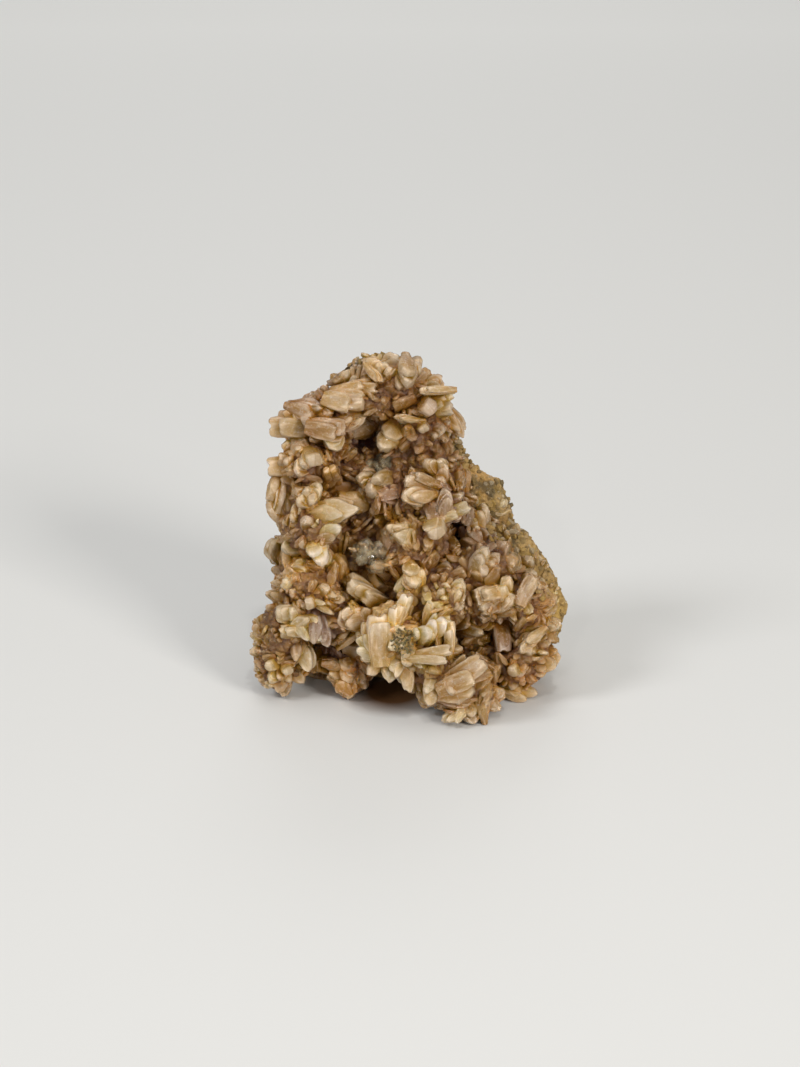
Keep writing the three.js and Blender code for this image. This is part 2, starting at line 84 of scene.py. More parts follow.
# Each blade: across, along and proud of its tip, the way it points on the face and out of it, length, width,
# thickness and roll. A habit and a tint follow where it isn't a petal in one of its sheaf's tints.
sheaves = {
    "shelf": {"tints": ("amber", "peach", "tan"), "rows": [
        (-29.4, 63, 9, 180, 5, 11, 4.4, 3, 0, "block", "amber"),
        (-21.4, 64, 13.5, 200, 62, 9, 5.2, 4.4, 0, "petal", "amber"),
        (-23.8, 67.6, 9, 140, 40, 8, 4.2, 3.4, 0, "petal", "pale"),
        (-17.6, 66.6, 13, -8, 32, 9, 4, 3.4, 0, "petal", "amber"),
        (-12.7, 62.7, 14, -3, 8, 8.5, 3.8, 3.2, 0, "block", "amber"),
        (-6.2, 70.8, 14, 3, 14, 10, 2.6, 2.6, 0, "block", "amber"),
        (-8.8, 68.0, 15, -3, 16, 9, 4.4, 3.4, 0, "block", "amber"),
        (-8.4, 65, 12, 20, 8, 10, 3.4, 3.2, 0, "petal", "amber"),
        (-6.3, 64.9, 10, -62, 25, 8, 3, 2.6, 0, "petal", "tan"),
        (-15, 57.7, 13, -82, 25, 7, 4.4, 2, 0, "petal", "white"),
        (-19.2, 55.7, 14, -50, 62, 9, 4.8, 4.4, 0, "petal", "peach"),
        (-29.9, 54.6, 7, 182, 5, 11, 4.4, 3.4, 0, "block", "peach"),
        (-23, 52.8, 13, 240, 50, 8, 4, 2.8, 0),
        (-26.6, 59.4, 8, 165, 20, 9, 3.6, 2.8, 0, "petal", "pink"),
        (-27.2, 51.8, 7, 190, 20, 9, 3.4, 2.8, 0),
        (-26.2, 66, 10, 165, 10, 8, 2.6, 2.4, 0),
        (-15.6, 65.4, 15, -10, 50, 8, 2.4, 2.8, 0),
        (-23.6, 58.4, 11, 140, 55, 8, 3.4, 2.6, 0),
        (-25.6, 55.4, 11, 200, 60, 8, 2.8, 2.6, 0),
        (-20.4, 60, 12, 215, 45, 7, 2.6, 2.2, 0),
    ]},
    "crown": {"tints": ("tan", "peach", "tan"), "rows": [
        (-3.6, 78.9, 8, 95, 5, 10, 5.4, 4.2, 0),
        (-8.2, 77.6, 8, 120, 5, 9, 4.6, 3.6, 0),
        (0.2, 77.2, 9, 70, 10, 9, 4.4, 3.6, 0),
        (0.3, 71.2, 14, -80, 45, 9, 4, 3.6, 0),
        (2.6, 75.8, 12, 35, 45, 8, 3.8, 3.2, 0),
        (7.4, 73.6, 8, 30, 15, 8, 3.4, 3, 0),
        (4.8, 66.8, 13, -20, 72, 8, 5.2, 4.4, 0),
        (9.4, 67, 9, 8, 25, 8, 3.2, 2.6, 0, "block", "pale"),
        (9.6, 70.2, 8, 15, 15, 8, 2.8, 2.6, 0, "block", "pink"),
        (3.4, 62.2, 12, -60, 60, 8, 3.4, 2.4, 0, "petal", "pale"),
        (7.6, 62.6, 11, 20, 55, 8, 2.8, 2.4, 0),
        (11.8, 61.4, 6, -40, 20, 9, 3, 2.6, 0),
        (-4.4, 74.6, 12, 130, 60, 8, 3.6, 2.8, 0),
        (-5.2, 57.9, 10, -112, 30, 8, 4.8, 3.2, 0, "petal", "tan"),
        (-5.2, 72, 13, -48, 25, 6, 2, 2.4, 0),
        (2.3, 70.3, 13, 182, 20, 8, 1.8, 2.4, 0, "block", "pale"),
        (-3, 65, 12, 172, 20, 7, 1.6, 2, 0),
        (11.6, 60.6, 6, -62, 5, 9, 2.6, 2.4, 0),
    ]},
    "column": {"tints": ("peach", "tan", "pink", "peach"), "rows": [
        (-27.4, 44.6, 7, 262, 8, 10, 3, 3.4, 70),
        (-28, 50.2, 6, 112, 8, 9, 3.2, 3.2, 60),
        (-23.6, 49.8, 11, 150, 40, 8, 3.4, 2.8, 0),
        (-23, 46.8, 13, 200, 55, 8, 3.6, 3, 0, "petal", "pale"),
        (-18.4, 51.2, 12, 60, 35, 9, 3.8, 3.2, 0),
        (-10.2, 45.6, 13, 3, 20, 12, 5.2, 3, 0, "point", "pink"),
        (-14, 42.2, 14, 25, 30, 7, 3.2, 1.4, 0, "petal", "white"),
        (-26.8, 37.6, 7, 190, 25, 9, 4.4, 3.2, 0, "petal", "pink"),
        (-22.5, 38.8, 11, 170, 60, 8, 3.6, 3, 0),
        (-24.6, 28.6, 11, 160, 45, 9, 3.2, 2.4, 0),
        (-20.6, 26, 13, 220, 70, 8, 3.8, 3, 0),
        (-17, 29.6, 13, 40, 60, 7, 3.2, 2.4, 0),
        (-21.4, 43.6, 13, 120, 65, 8, 3.8, 2.8, 0),
        (-17.2, 38, 12, -20, 55, 7, 3.2, 2.6, 0),
        (-30.4, 28, 4, 165, 10, 8, 2.8, 2.2, 0),
        (-17.6, 34.2, 14, -70, 50, 9, 3.8, 2.8, 0, "petal", "white"),
        (-26.4, 30.9, 10, 150, 25, 10, 3, 2.6, 0, "block", "pink"),
        (-13.2, 26.6, 12, -20, 35, 9, 2.8, 2.4, 0),
        (-12.2, 30, 12, 150, 50, 14, 3.8, 3.4, 0, "block", "tan"),
        (-15, 22.6, 11, 186, 20, 9, 5.4, 3.2, 0, "petal", "peach"),
        (-12, 25, 11, 140, 25, 8, 3.6, 2.8, 0),
        (-19.6, 47.8, 13, 20, 60, 8, 3.6, 3.2, 0),
        (-24.2, 43.2, 11, 230, 55, 8, 3, 2.6, 0),
        (-20.3, 42, 12, 195, 30, 6, 1.8, 1.2, 0, "petal", "white"),
        (-25.2, 33.2, 8, 175, 20, 8, 2.8, 2.2, 0),
        (-21.5, 33.4, 11, 30, 50, 7, 3, 2.4, 0),
        (-29.2, 30.4, 5, 168, 5, 8, 1.9, 1.8, 0),
        (-17.2, 28.6, 12, 120, 50, 7, 2.4, 2.2, 0),
        (-15.4, 24, 13, -25, 25, 7, 1.5, 1.8, 0),
    ]},
    "rosette": {"tints": ("peach", "tan", "pale"), "rows": [
        (-27.8, 23.9, 9, 180, 15, 10, 4.2, 3.2, 0, "block", "pale"),
        (-27.2, 20, 9, 182, 15, 9, 3.2, 2.6, 0, "block", "pale"),
        (-18.2, 18.2, 11, -40, 20, 9, 2.8, 2.2, 0, "petal", "white"),
        (-17, 16.8, 10, -78, 10, 10, 3.4, 2.8, 0),
        (-18.6, 23, 11, 20, 30, 8, 3.4, 2.6, 0),
        (-20.8, 11.2, 6, -72, 10, 10, 3.4, 2.8, 0, "petal", "pink"),
        (-33.2, 22.4, 1, 140, 5, 8, 3, 2.4, 0),
        (-33.8, 19.2, 2, 165, 10, 8, 3, 2.4, 0),
        (-33.9, 15.4, 2, 178, 10, 8, 3.2, 2.6, 0),
        (-33, 11.4, 2, 205, 10, 8, 3, 2.6, 0),
        (-30.6, 7.6, 2, 232, 8, 8, 3.2, 2.6, 0),
        (-26.4, 5.6, 1.5, 268, 5, 8, 3.4, 2.8, 0),
        (-21.8, 9, 3, -35, 10, 8, 3.2, 2.4, 0),
        (-29.6, 12.6, 7, 190, 60, 7, 3.2, 2.4, 20, "petal", "pale"),
        (-25.2, 11.4, 7, -60, 60, 7, 3.4, 2.4, 0, "petal", "pale"),
        (-30.2, 25.4, 4, 150, 15, 8, 2.8, 2.2, 0),
        (-28.2, 17.2, 6, 130, 50, 7, 3, 2.4, 0),
        (-29.2, 9.4, 6, 230, 50, 6, 2.8, 2.2, 0),
    ]},
    "middle_foot": {"tints": ("peach", "tan"), "rows": [
        (-17.4, 9.9, 2.5, 190, 10, 6, 2.8, 2.4, 0),
        (-15.4, 6.6, 2.2, 232, 10, 7, 2.8, 2.4, 0),
        (-12.4, 5.2, 2.2, 270, 10, 8, 3.8, 3, 0),
        (-8.6, 7.6, 1.5, -50, 5, 7, 3, 2.4, 0),
        (-12.6, 9.4, 6.5, -90, 55, 8, 3.8, 3, 0),
        (-9.6, 12.2, 3, -10, 30, 7, 3, 2.4, 0),
        (-15.2, 13, 3, 150, 30, 7, 3, 2.4, 0),
    ]},
    "pale_head": {"tints": ("pale", "pink", "white"), "rows": [
        (-6.3, 24.2, 16, 93, 8, 11, 4.8, 3.4, 0, "block", "pink"),
        (-9.2, 22.4, 14, 112, 8, 9, 3, 2.6, 0),
        (-10.8, 19, 14, 150, 10, 8, 3, 2.4, 0),
        (0.1, 28.2, 16, 68, 10, 11, 2.8, 2.4, 0, "block", "white"),
        (-2.6, 25.8, 17, 84, 15, 12, 2.8, 2.6, 0, "block", "white"),
        (-4.2, 17.2, 18, 200, 30, 8, 3.4, 2.4, 0),
        (-8.2, 11, 13, 232, 12, 10, 3.6, 2.6, 0, "petal", "pink"),
        (-4.2, 9.6, 14, 262, 12, 10, 4, 2.8, 0, "petal", "pink"),
        (-9.8, 14.4, 14, 205, 15, 9, 3.4, 2.6, 0),
        (0.2, 7.8, 15, 278, 15, 10, 3.2, 2.8, 0),
        (7.4, 23.4, 18, 60, 35, 8, 3.4, 2.6, 0, "petal", "white"),
        (4.6, 20.6, 19, 30, 55, 8, 3.8, 2.8, 0, "petal", "white"),
        (5.6, 13, 17, -40, 35, 8, 3.6, 2.6, 0),
        (-0.6, 13.6, 18, 250, 50, 8, 3.6, 2.6, 0),
        (4.4, 4.8, 15, 262, 15, 9, 3.8, 2.4, 0, "petal", "pink"),
        (4.6, 27.2, 16, 82, 20, 9, 2.4, 2.2, 0),
        (9, 17, 19, 12, 15, 10, 2.6, 2.2, 0, "block", "pale"),
        (8.9, 22.6, 16, 88, 15, 8, 2, 2.4, 0, "block", "pale"),
    ]},
    "heart": {"tints": ("peach", "tan", "olive"), "rows": [
        (-2.2, 37.4, 9.5, 40, 30, 7, 1.5, 1.3, 0, "point", "tan"),
        (-2.0, 34.4, 9.5, 5, 25, 7, 1.4, 1.2, 0, "point", "pale"),
        (-12.6, 37.6, 9, 165, 25, 7, 1.5, 1.3, 0, "point", "tan"),
        (-8.2, 49, 11, 215, 50, 9, 4.6, 4.2, 0, "petal", "tan"),
        (-10.6, 52.6, 9, 160, 45, 8, 4, 3.4, 0),
        (-5, 53.2, 9, 60, 35, 8, 4.2, 3, 0),
        (3.5, 55.6, 11, 150, 55, 8, 3.4, 3, 0),
        (7.2, 55.6, 9, 80, 30, 9, 4.2, 3.2, 0),
        (-0.9, 51.6, 12, 172, 25, 8, 2.8, 2.6, 0, "block", "pale"),
        (-1.4, 48.2, 13, 185, 30, 8, 4, 3.2, 0, "petal", "pale"),
        (2.6, 46.4, 12, -60, 45, 7, 3.2, 2.6, 0, "petal", "pale"),
        (7.8, 50.2, 11, 85, 20, 9, 3.6, 2.8, 0),
        (13.2, 46.4, 10, 18, 10, 11, 2.8, 2.6, 0, "block", "pink"),
        (11.4, 49, 10, 40, 35, 8, 3.4, 2.8, 0, "point", "pink"),
        (6.1, 40.4, 15, -80, 68, 10, 5.4, 5, 0, "block", "pale"),
        (-4.6, 42.2, 12, 160, 22, 11, 4.6, 3.2, 0, "point", "pink"),
        (0.9, 34.6, 13, 96, 15, 8, 3.4, 2.4, 0, "petal", "pink"),
        (2, 29.6, 15, -70, 40, 7, 3.8, 2.6, 0, "petal", "pink"),
        (3.8, 33.8, 11, 62, 15, 8, 3.4, 2.6, 0),
        (8, 30.8, 14, 72, 20, 9, 3.6, 2.8, 0, "petal", "pale"),
        (11.6, 31.2, 14, 56, 20, 9, 4, 3, 0, "petal", "pale"),
        (11.6, 26, 15, 0, 40, 8, 3.8, 3, 0),
        (8.6, 34.6, 9, 60, 30, 8, 4.4, 3, 0, "petal", "brown"),
        (-9.8, 57.2, 5, 120, 50, 7, 4, 3, 0),
        (0.8, 54.6, 9, 95, 35, 7, 2.2, 2, 0),
        (4.8, 38.2, 9, -10, 20, 8, 2.4, 2.2, 0),
        (-0.8, 36.2, 10, 190, 25, 7, 2.2, 2.2, 0),
        (-3.2, 46.6, 8, 110, 40, 7, 2.6, 2.2, 0),
        (-7.8, 45.6, 7, 160, 50, 7, 2.8, 2.4, 0),
    ]},
    "right_side": {"tints": ("tan", "peach", "olive"), "rows": [
        (16.2, 38, 11, 70, 25, 10, 4.2, 3.2, 0, "petal", "pink"),
        (19.4, 36.2, 10, 35, 25, 9, 3.6, 2.8, 0),
        (16, 33.2, 12, 20, 65, 8, 4, 3, 0),
        (18.6, 28.6, 11, -30, 60, 8, 3.4, 2.8, 0),
        (26, 18.4, 9, 60, 55, 8, 3.8, 3, 0),
        (21.6, 11.6, 9, 200, 60, 8, 3.6, 2.8, 0),
        (28.4, 21, 7, 30, 35, 8, 3.2, 2.6, 0),
        (16.2, 47, 5, 80, 25, 8, 3.2, 2.6, 0),
        (20.6, 31.8, 10, 88, 20, 8, 2.8, 2.4, 0, "block", "pink"),
        (13.6, 27.2, 12, 190, 35, 10, 4, 3.2, 0, "block", "brown"),
        (14.8, 24.6, 12, 200, 40, 10, 3, 2.6, 0, "block", "brown"),
        (22.6, 27.4, 11, 25, 30, 9, 3.8, 2.8, 0),
        (26.4, 24.4, 9, -20, 25, 8, 3.6, 2.6, 0),
        (15.6, 19.8, 9, -10, 50, 11, 3.2, 2.8, 0),
        (32.5, 14, 3, 2, 8, 9, 5.2, 3.4, 0, "petal", "tan"),
        (28.8, 10.4, 3, -20, 10, 8, 3.2, 2.8, 0),
        (27.8, 6.7, 1.6, -6, 5, 9, 3.2, 3, 0, "petal", "pink"),
        (23.4, 5.6, 2.2, -80, 8, 8, 3.8, 3, 0, "petal", "pink"),
        (33, 21.6, 0, 5, 5, 8, 3.6, 3, 0),
        (12.8, 38, 8, 105, 30, 8, 2.8, 2.4, 0, "petal", "olive"),
        (14.4, 43.6, 5, 100, 25, 9, 3.8, 2.8, 0, "petal", "olive"),
        (19.3, 21.4, 7, -88, 15, 7, 2, 1.8, 0),
        (23.2, 21.2, 8, -60, 20, 7, 2.2, 2, 0),
        (20.2, 15.2, 6, -85, 20, 9, 3.6, 3, 0, "block", "brown"),
        (23.2, 15.6, 9, 222, 15, 8, 2.6, 2.4, 0),
        (30.2, 17.4, 6, 8, 15, 8, 2.4, 2.4, 0),
        (24.4, 11.2, 7, -40, 55, 8, 4.6, 3.4, 0, "petal", "brown"),
    ]},
    "bow_foot": {"tints": ("tan", "peach", "amber"), "rows": [
        (15.8, 14.8, 17, 34, 12, 12, 4.4, 3.2, 0, "block", "amber"),
        (13.8, 8.6, 17, 10, 20, 10, 4.6, 3.2, 0, "petal", "amber"),
        (10.4, 5.2, 16, -75, 20, 9, 4, 3, 0, "petal", "amber"),
        (6.8, 1.7, 13, 205, 10, 8, 2.8, 2.6, 0, "petal", "pale"),
        (9.6, 0.3, 13, 250, 8, 8, 3, 2.8, 0, "petal", "pale"),
        (14, 0.9, 12.5, -62, 8, 9, 4.2, 3.2, 0),
        (19.6, 3.8, 10, -30, 10, 10, 3.8, 3, 0),
        (20.4, 7.6, 10, 10, 20, 8, 3.2, 2.6, 0),
        (15.2, 8.8, 13, 95, 15, 8, 3, 2.6, 0),
        (16.6, 5, 14, -50, 35, 8, 3.4, 2.6, 0),
    ]},
}


def smooth(low, high, value):
    t = min(max((value - low) / (high - low), 0.0), 1.0)
    return t * t * (3 - 2 * t)


def mix(a, b, share):
    return a + (b - a) * share


# A blade before it is scaled to its own size, in mm: its tip at the origin, its root at minus its length.
bladeSize = Vector((4.0, 9.0, 3.0))

# how a plate's width runs from root to tip, how far its corners fall back, how ragged its tip is,
# how deep its ridges are and how wide its rounded edges are
habits = {
    "petal": {
        "root": 0.5, "fullAt": 0.66, "tipFrom": 0.72, "tipWidth": 0.62, "fallBack": 0.09, "ragged": 0.045,
        "ridge": 0.08, "round": 0, "bevel": 0.3, "slim": 0.62,
    },
    "block": {
        "root": 0.8, "fullAt": 0.4, "tipFrom": 0.9, "tipWidth": 0.84, "fallBack": 0.02, "ragged": 0.07,
        "ridge": 0.1, "round": 0, "bevel": 0.3, "slim": 0.8,
    },
    "point": {
        "root": 0.6, "fullAt": 0.5, "tipFrom": 0.6, "tipWidth": 0.3, "fallBack": 0.06, "ragged": 0.015,
        "ridge": 0.05, "round": 0, "bevel": 0.2, "slim": 0.6,
    },
    "cap": {
        "root": 0.55, "fullAt": 0.66, "tipFrom": 0.8, "tipWidth": 0.74, "fallBack": 0.07, "ragged": 0.01,
        "ridge": 0.02, "round": 3.0, "bevel": 0.16, "slim": 0.8,
    },
}

# how finely a plate is cut: along, across and the segments of its rounded edges
fineCuts = [{"along": 6, "across": 5, "segments": 2}, {"along": 4, "across": 4, "segments": 1}]
lightCuts = [{"along": 4, "across": 4, "segments": 1}]
smallCuts = [{"along": 2, "across": 2, "segments": 1}]


def makePlate(rng, width, length, thick, habit, cuts):
    shape = habits[habit]
    bm = bmesh.new()
    bmesh.ops.create_cube(bm, size=1)
    for axis, count in ((1, cuts["along"]), (0, cuts["across"])):
        edges = [e for e in bm.edges if abs((e.verts[0].co - e.verts[1].co)[axis]) > 0.5]
        bmesh.ops.subdivide_edges(bm, edges=edges, cuts=count, use_grid_fill=True)
    shift = Vector((rng.uniform(-50, 50), rng.uniform(-50, 50), rng.uniform(-50, 50)))
    skew = rng.uniform(-0.6, 0.6)
    bow = rng.uniform(-0.25, 0.25)
    # the crystals side by side in the plate each have their own end and their own height
    columns = [(rng.uniform(0, 1), rng.uniform(-1, 1)) for i in range(cuts["across"] + 2)]
    for v in bm.verts:
        if shape["round"]:
            reach = max(abs(v.co.x), abs(v.co.z))
            corner = (abs(v.co.x) ** shape["round"] + abs(v.co.z) ** shape["round"]) ** (1 / shape["round"])
            v.co.x *= reach / corner
            v.co.z *= reach / corner
        side = v.co.x * 2
        t = v.co.y + 0.5
        end, height = columns[min(max(round((v.co.x + 0.5) * (cuts["across"] + 1)), 0), cuts["across"] + 1)]
        wide = mix(shape["root"], 1, smooth(0, shape["fullAt"], t))
        wide *= mix(1, shape["tipWidth"], smooth(shape["tipFrom"], 1, t) ** 1.5)
        back = shape["fallBack"] * (abs(side) ** 2.4 + skew * side) + shape["ragged"] * end
        back *= smooth(0.3, 1, t)
        slim = mix(0.6, 1, smooth(0, 0.6, t)) * mix(1, shape["slim"], smooth(0.6, 1, t))
        ridge = shape["ridge"] * height * smooth(0.1, 0.5, t) * (1 if v.co.z > 0 else -1)
        lift = v.co.z * thick * slim + ridge * thick
        place = Vector((side / 2 * wide * width, (t - 1 - back) * length, lift))
        place.z += bow * (side * wide) ** 2 * thick
        # thinner towards its sides, as a lens is
        place.z *= mix(1, 0.72, abs(side) ** 2)
        v.co = place + 0.17 * noise.noise_vector(place * 0.5 + shift)
    bm.normal_update()
    tip = bm.verts.layers.float.new("tip")
    rim = bm.verts.layers.float.new("rim")
    uv = bm.loops.layers.uv.new("blade")
    sharp = [e for e in bm.edges if e.calc_face_angle(0) > math.radians(50)]
    roundedEdges = bmesh.ops.bevel(
        bm, geom=sharp, offset=min(shape["bevel"] * thick, 0.2), offset_type="OFFSET",
        segments=cuts["segments"], profile=0.5, affect="EDGES", clamp_overlap=True, material=-1,
    )
    for v in bm.verts:
        v[tip] = v.co.y / length + 1
    # the rounded edges carry the rim value, where the material paints a pale highlight, more toward the tip
    for v in roundedEdges["verts"]:
        v[rim] = smooth(0.1, 0.6, v[tip])
    for f in bm.faces:
        for loop in f.loops:
            co = loop.vert.co
            loop[uv].uv = (co.x / bladeSize.x + 0.5 + co.z / bladeSize.z * 0.3, co.y / bladeSize.y + 1)
    return bm


# A blade is a thick plate with thinner ones terraced on its faces: size, place in the thickness, thickness.
terraces = [(1.0, 0.0, 0.74), (0.84, 0.34, 0.3), (0.8, -0.36, 0.26)]


def makeBlade(seed, habit, plates, cuts):
    rng = random.Random(seed)
    bm = bmesh.new()
    for i, (share, layer, thick) in enumerate(terraces[:plates]):
        loose = 0.0 if i == 0 else 1.0
        width = bladeSize.x * (share + loose * rng.uniform(-0.12, 0.04))
        length = bladeSize.y * (1 - 0.45 * (1 - share) - loose * rng.uniform(0, 0.05))
        depth = bladeSize.z * (thick + 0.26 * (plates == 1))
        part = makePlate(rng, width, length, depth, habit, cuts[min(i, 1)])
        aside = loose * rng.uniform(-0.35, 0.35) * (bladeSize.x - width)
        place = (
            Matrix.Translation((aside, -bladeSize.y, layer * bladeSize.z))
            @ Matrix.Rotation(math.radians(loose * rng.uniform(-4, 4)), 4, "Z")
            @ Matrix.Rotation(math.radians(loose * rng.uniform(-2, 2)), 4, "X")
            @ Matrix.Translation((0, length, 0))
        )
        bmesh.ops.transform(part, matrix=place, verts=part.verts)
        mesh = toMesh(part, "plate")
        bm.from_mesh(mesh)
        bpy.data.meshes.remove(mesh)
    bmesh.ops.triangulate(bm, faces=bm.faces)
    return asArrays(bm)


def toMesh(bm, name):
    mesh = bpy.data.meshes.new(name)
    bm.to_mesh(mesh)
    bm.free()
    return mesh


def coordinates(mesh):
    co = np.empty(len(mesh.vertices) * 3, np.float32)
    mesh.vertices.foreach_get("co", co)
    return co.reshape(-1, 3)


def normals(mesh):
    found = np.empty(len(mesh.vertices) * 3, np.float32)
    mesh.vertex_normals.foreach_get("vector", found)
    return found.reshape(-1, 3)


# The arrays that many copies are joined from.
def asArrays(bm):
    mesh = toMesh(bm, "shape")
    tris = np.empty(len(mesh.loops), np.int32)
    mesh.loops.foreach_get("vertex_index", tris)
    shape = {"co": coordinates(mesh), "tris": tris.reshape(-1, 3)}
    for name in ("tip", "rim"):
        values = np.ones(len(mesh.vertices), np.float32)
        if name in mesh.attributes:
            mesh.attributes[name].data.foreach_get("value", values)
        shape[name] = values
    uv = np.zeros(len(mesh.loops) * 2, np.float32)
    if mesh.uv_layers:
        mesh.uv_layers[0].uv.foreach_get("vector", uv)
    shape["uv"] = uv.reshape(-1, 2)
    bpy.data.meshes.remove(mesh)
    return shape


# Joins copies of shapes into arrays. A copy is a shape, its matrix to the part in metres, its colour and how
# strong the painted highlight on its edges is.
def gathered(copies):
    parts = {"co": [], "tris": [], "tip": [], "rim": [], "uv": [], "tint": []}
    start = 0
    for shape, matrix, colour, edge in copies:
        m = np.array(matrix, np.float32)
        co = shape["co"] @ m[:3, :3].T + m[:3, 3]
        co = np.clip(co, *np.array(cadBox, np.float32))
        parts["co"].append(co)
        parts["tris"].append(shape["tris"] + start)
        parts["tip"].append(shape["tip"])
        parts["rim"].append(shape["rim"] * edge)
        parts["uv"].append(shape["uv"])
        parts["tint"].append(np.tile(np.array((*colour, 1), np.float32), (len(co), 1)))
        start += len(co)
    return {key: np.concatenate(values) for key, values in parts.items()}


def built(name, arrays, material, creaseAngle=35):
    mesh = bpy.data.meshes.new(name)
    mesh.from_pydata(arrays["co"].tolist(), [], arrays["tris"].tolist())
    mesh.materials.append(material)
    mesh.shade_smooth()
    layer = mesh.uv_layers.new(name="blade")
    layer.uv.foreach_set("vector", arrays["uv"].ravel())
    paint(mesh, arrays)
    mesh.set_sharp_from_angle(angle=math.radians(creaseAngle))
    piece = bpy.data.objects.new(name, mesh)
    scene.collection.objects.link(piece)
    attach(piece, "root")
    print(name, len(arrays["tris"]), "triangles")
    return piece


# The values that the materials read at each point of a mesh.
def paint(mesh, values):
    co = coordinates(mesh)
    values = {"deep": depthAt(co), "open": openness(co, normals(mesh)), **values}
    for label in ("tip", "rim", "deep", "open"):
        if label in values:
            layer = mesh.attributes.new(label, "FLOAT", "POINT")
            layer.data.foreach_set("value", values[label])
    layer = mesh.color_attributes.new("tint", "FLOAT_COLOR", "POINT")
    layer.data.foreach_set("color", values["tint"].astype(np.float32).ravel())


# Cells that hold some surface, for telling how closed in a point is.
fill = {"low": np.array((-38, -28, -3)), "cells": (154, 106, 156), "step": 0.5}
filled = np.zeros(fill["cells"], bool)
# the ways that a point looks out, and how far it looks, in mm
sides = (-1, 0, 1)
outlook = [Vector((x, y, z)).normalized() for x in sides for y in sides for z in sides if x or y or z]
outSteps = (0.8, 1.3, 1.8, 2.4, 3.1, 3.9, 4.8)


def cellsOf(co):
    cell = ((co * 1000 - fill["low"]) / fill["step"]).astype(int)
    return tuple(np.clip(cell, 0, np.array(fill["cells"]) - 1).T)


# the points of a triangle that fill cells: its corners, the middles of its sides and its own middle
samples = [(1, 0, 0), (0, 1, 0), (0, 0, 1), (0.5, 0.5, 0), (0, 0.5, 0.5), (0.5, 0, 0.5), (0.34, 0.33, 0.33)]


def fillFrom(co, tris):
    a, b, c = (co[tris[:, k]] for k in range(3))
    for i, j, k in samples:
        filled[cellsOf(a * i + b * j + c * k)] = True


# How open each point is, from 0 where others stand all round it to 1.
def openness(co, normal):
    total = np.zeros(len(co), np.float32)
    weight = np.zeros(len(co), np.float32)
    for way in outlook:
        way = np.array(way, np.float32)
        facing = np.maximum(normal @ way - 0.2, 0)
        seen = np.ones(len(co), np.float32)
        for step in reversed(outSteps):
            hit = filled[cellsOf(co + normal * 0.0003 + way * step / 1000)]
            seen = np.where(hit, step / outSteps[-1] * 0.6, seen)
        total += facing * seen
        weight += facing
    return total / np.maximum(weight, 1e-6)


# The frame of a crystal on the face, its tip at the place given.
def crystalFrame(across, along, proud, lean, out, turn):
    lean, out = math.radians(lean), math.radians(out)
    aim = Vector((math.cos(out) * math.cos(lean), math.cos(out) * math.sin(lean), math.sin(out)))
    wide = Vector((math.sin(lean), -math.cos(lean), 0))
    wide.rotate(Matrix.Rotation(math.radians(turn), 3, aim))
    return framed((across, along, proud), aim, wide)


def framed(place, aim, wide):
    made = Matrix((wide, aim, wide.cross(aim))).transposed().to_4x4()
    made.translation = place
    return made


def bladeScale(width, length, thick):
    return Matrix.Diagonal((width / bladeSize.x, length / bladeSize.y, thick / bladeSize.z, 1))


# where the face is darker or lighter: across, along, radius, and what its colour is multiplied by
# The patches in the cavity at (-9, 61), in the hollows at (10.5, 41) and (19, 18) and under the arch at
# (-15, 16) are painted shade; the others make the face lighter or darker by place.
patches = [
    (-9, 61, 4.5, (0.3, 0.13, 0.05)), (8, 47, 6, (0.52, 0.4, 0.27)), (5, 64, 7, (0.8, 0.7, 0.55)),
    (-4, 51, 7, (0.8, 0.68, 0.5)), (10.5, 41, 4, (0.36, 0.23, 0.14)), (19, 18, 5, (0.78, 0.6, 0.3)),
    (-15, 16, 4.5, (0.43, 0.27, 0.1)), (29, 24, 5, (1.45, 1.44, 1.1)), (-2.5, 22, 6.5, (1.4, 1.37, 1.58)),
    (-20, 33, 8, (1.25, 1.24, 1.37)), (-1, 32, 6, (1.5, 1.44, 1.45)), (19, 41, 6, (0.64, 0.53, 0.34)),
    (-18, 64, 9, (0.84, 0.73, 0.58)), (8, 55, 5, (0.84, 0.74, 0.6)), (24, 8, 6, (1.4, 1.27, 1.15)),
    (-12.5, 9.5, 6, (1.52, 1.38, 1.28)), (-8, 37, 4, (1.0, 0.9, 0.74)), (7, 23, 4.5, (1.14, 1.13, 1.26)),
    (-6.5, 20, 3, (0.78, 0.8, 0.84)), (16, 36, 5, (0.86, 0.8, 0.72)), (28, 31, 5, (0.92, 0.88, 0.84)),
    (0, 74, 8, (0.94, 0.9, 0.85)), (-20, 46, 7, (0.96, 0.93, 0.95)), (15, 51, 5, (1.1, 1.0, 0.88)),
    (30, 14, 4.5, (1.3, 1.25, 1.25)), (-4, 30, 4, (1.25, 1.25, 1.25)),
]


# The colour of something that stands at a place on the face.
def patched(colour, across, along):
    for x, y, radius, shade in patches:
        share = smooth(1, 0.35, math.hypot(across - x, along - y) / radius)
        colour = [c * mix(1, s, share) for c, s in zip(colour, shade)]
    return colour


def varied(rng, tint, spread=0.08):
    value = 1 + rng.uniform(-spread, spread)
    warmth = rng.uniform(-0.06, 0.06)
    r, g, b = tints[tint]
    return (r * value * (1 + warmth * 0.4), g * value, b * value * (1 - warmth))


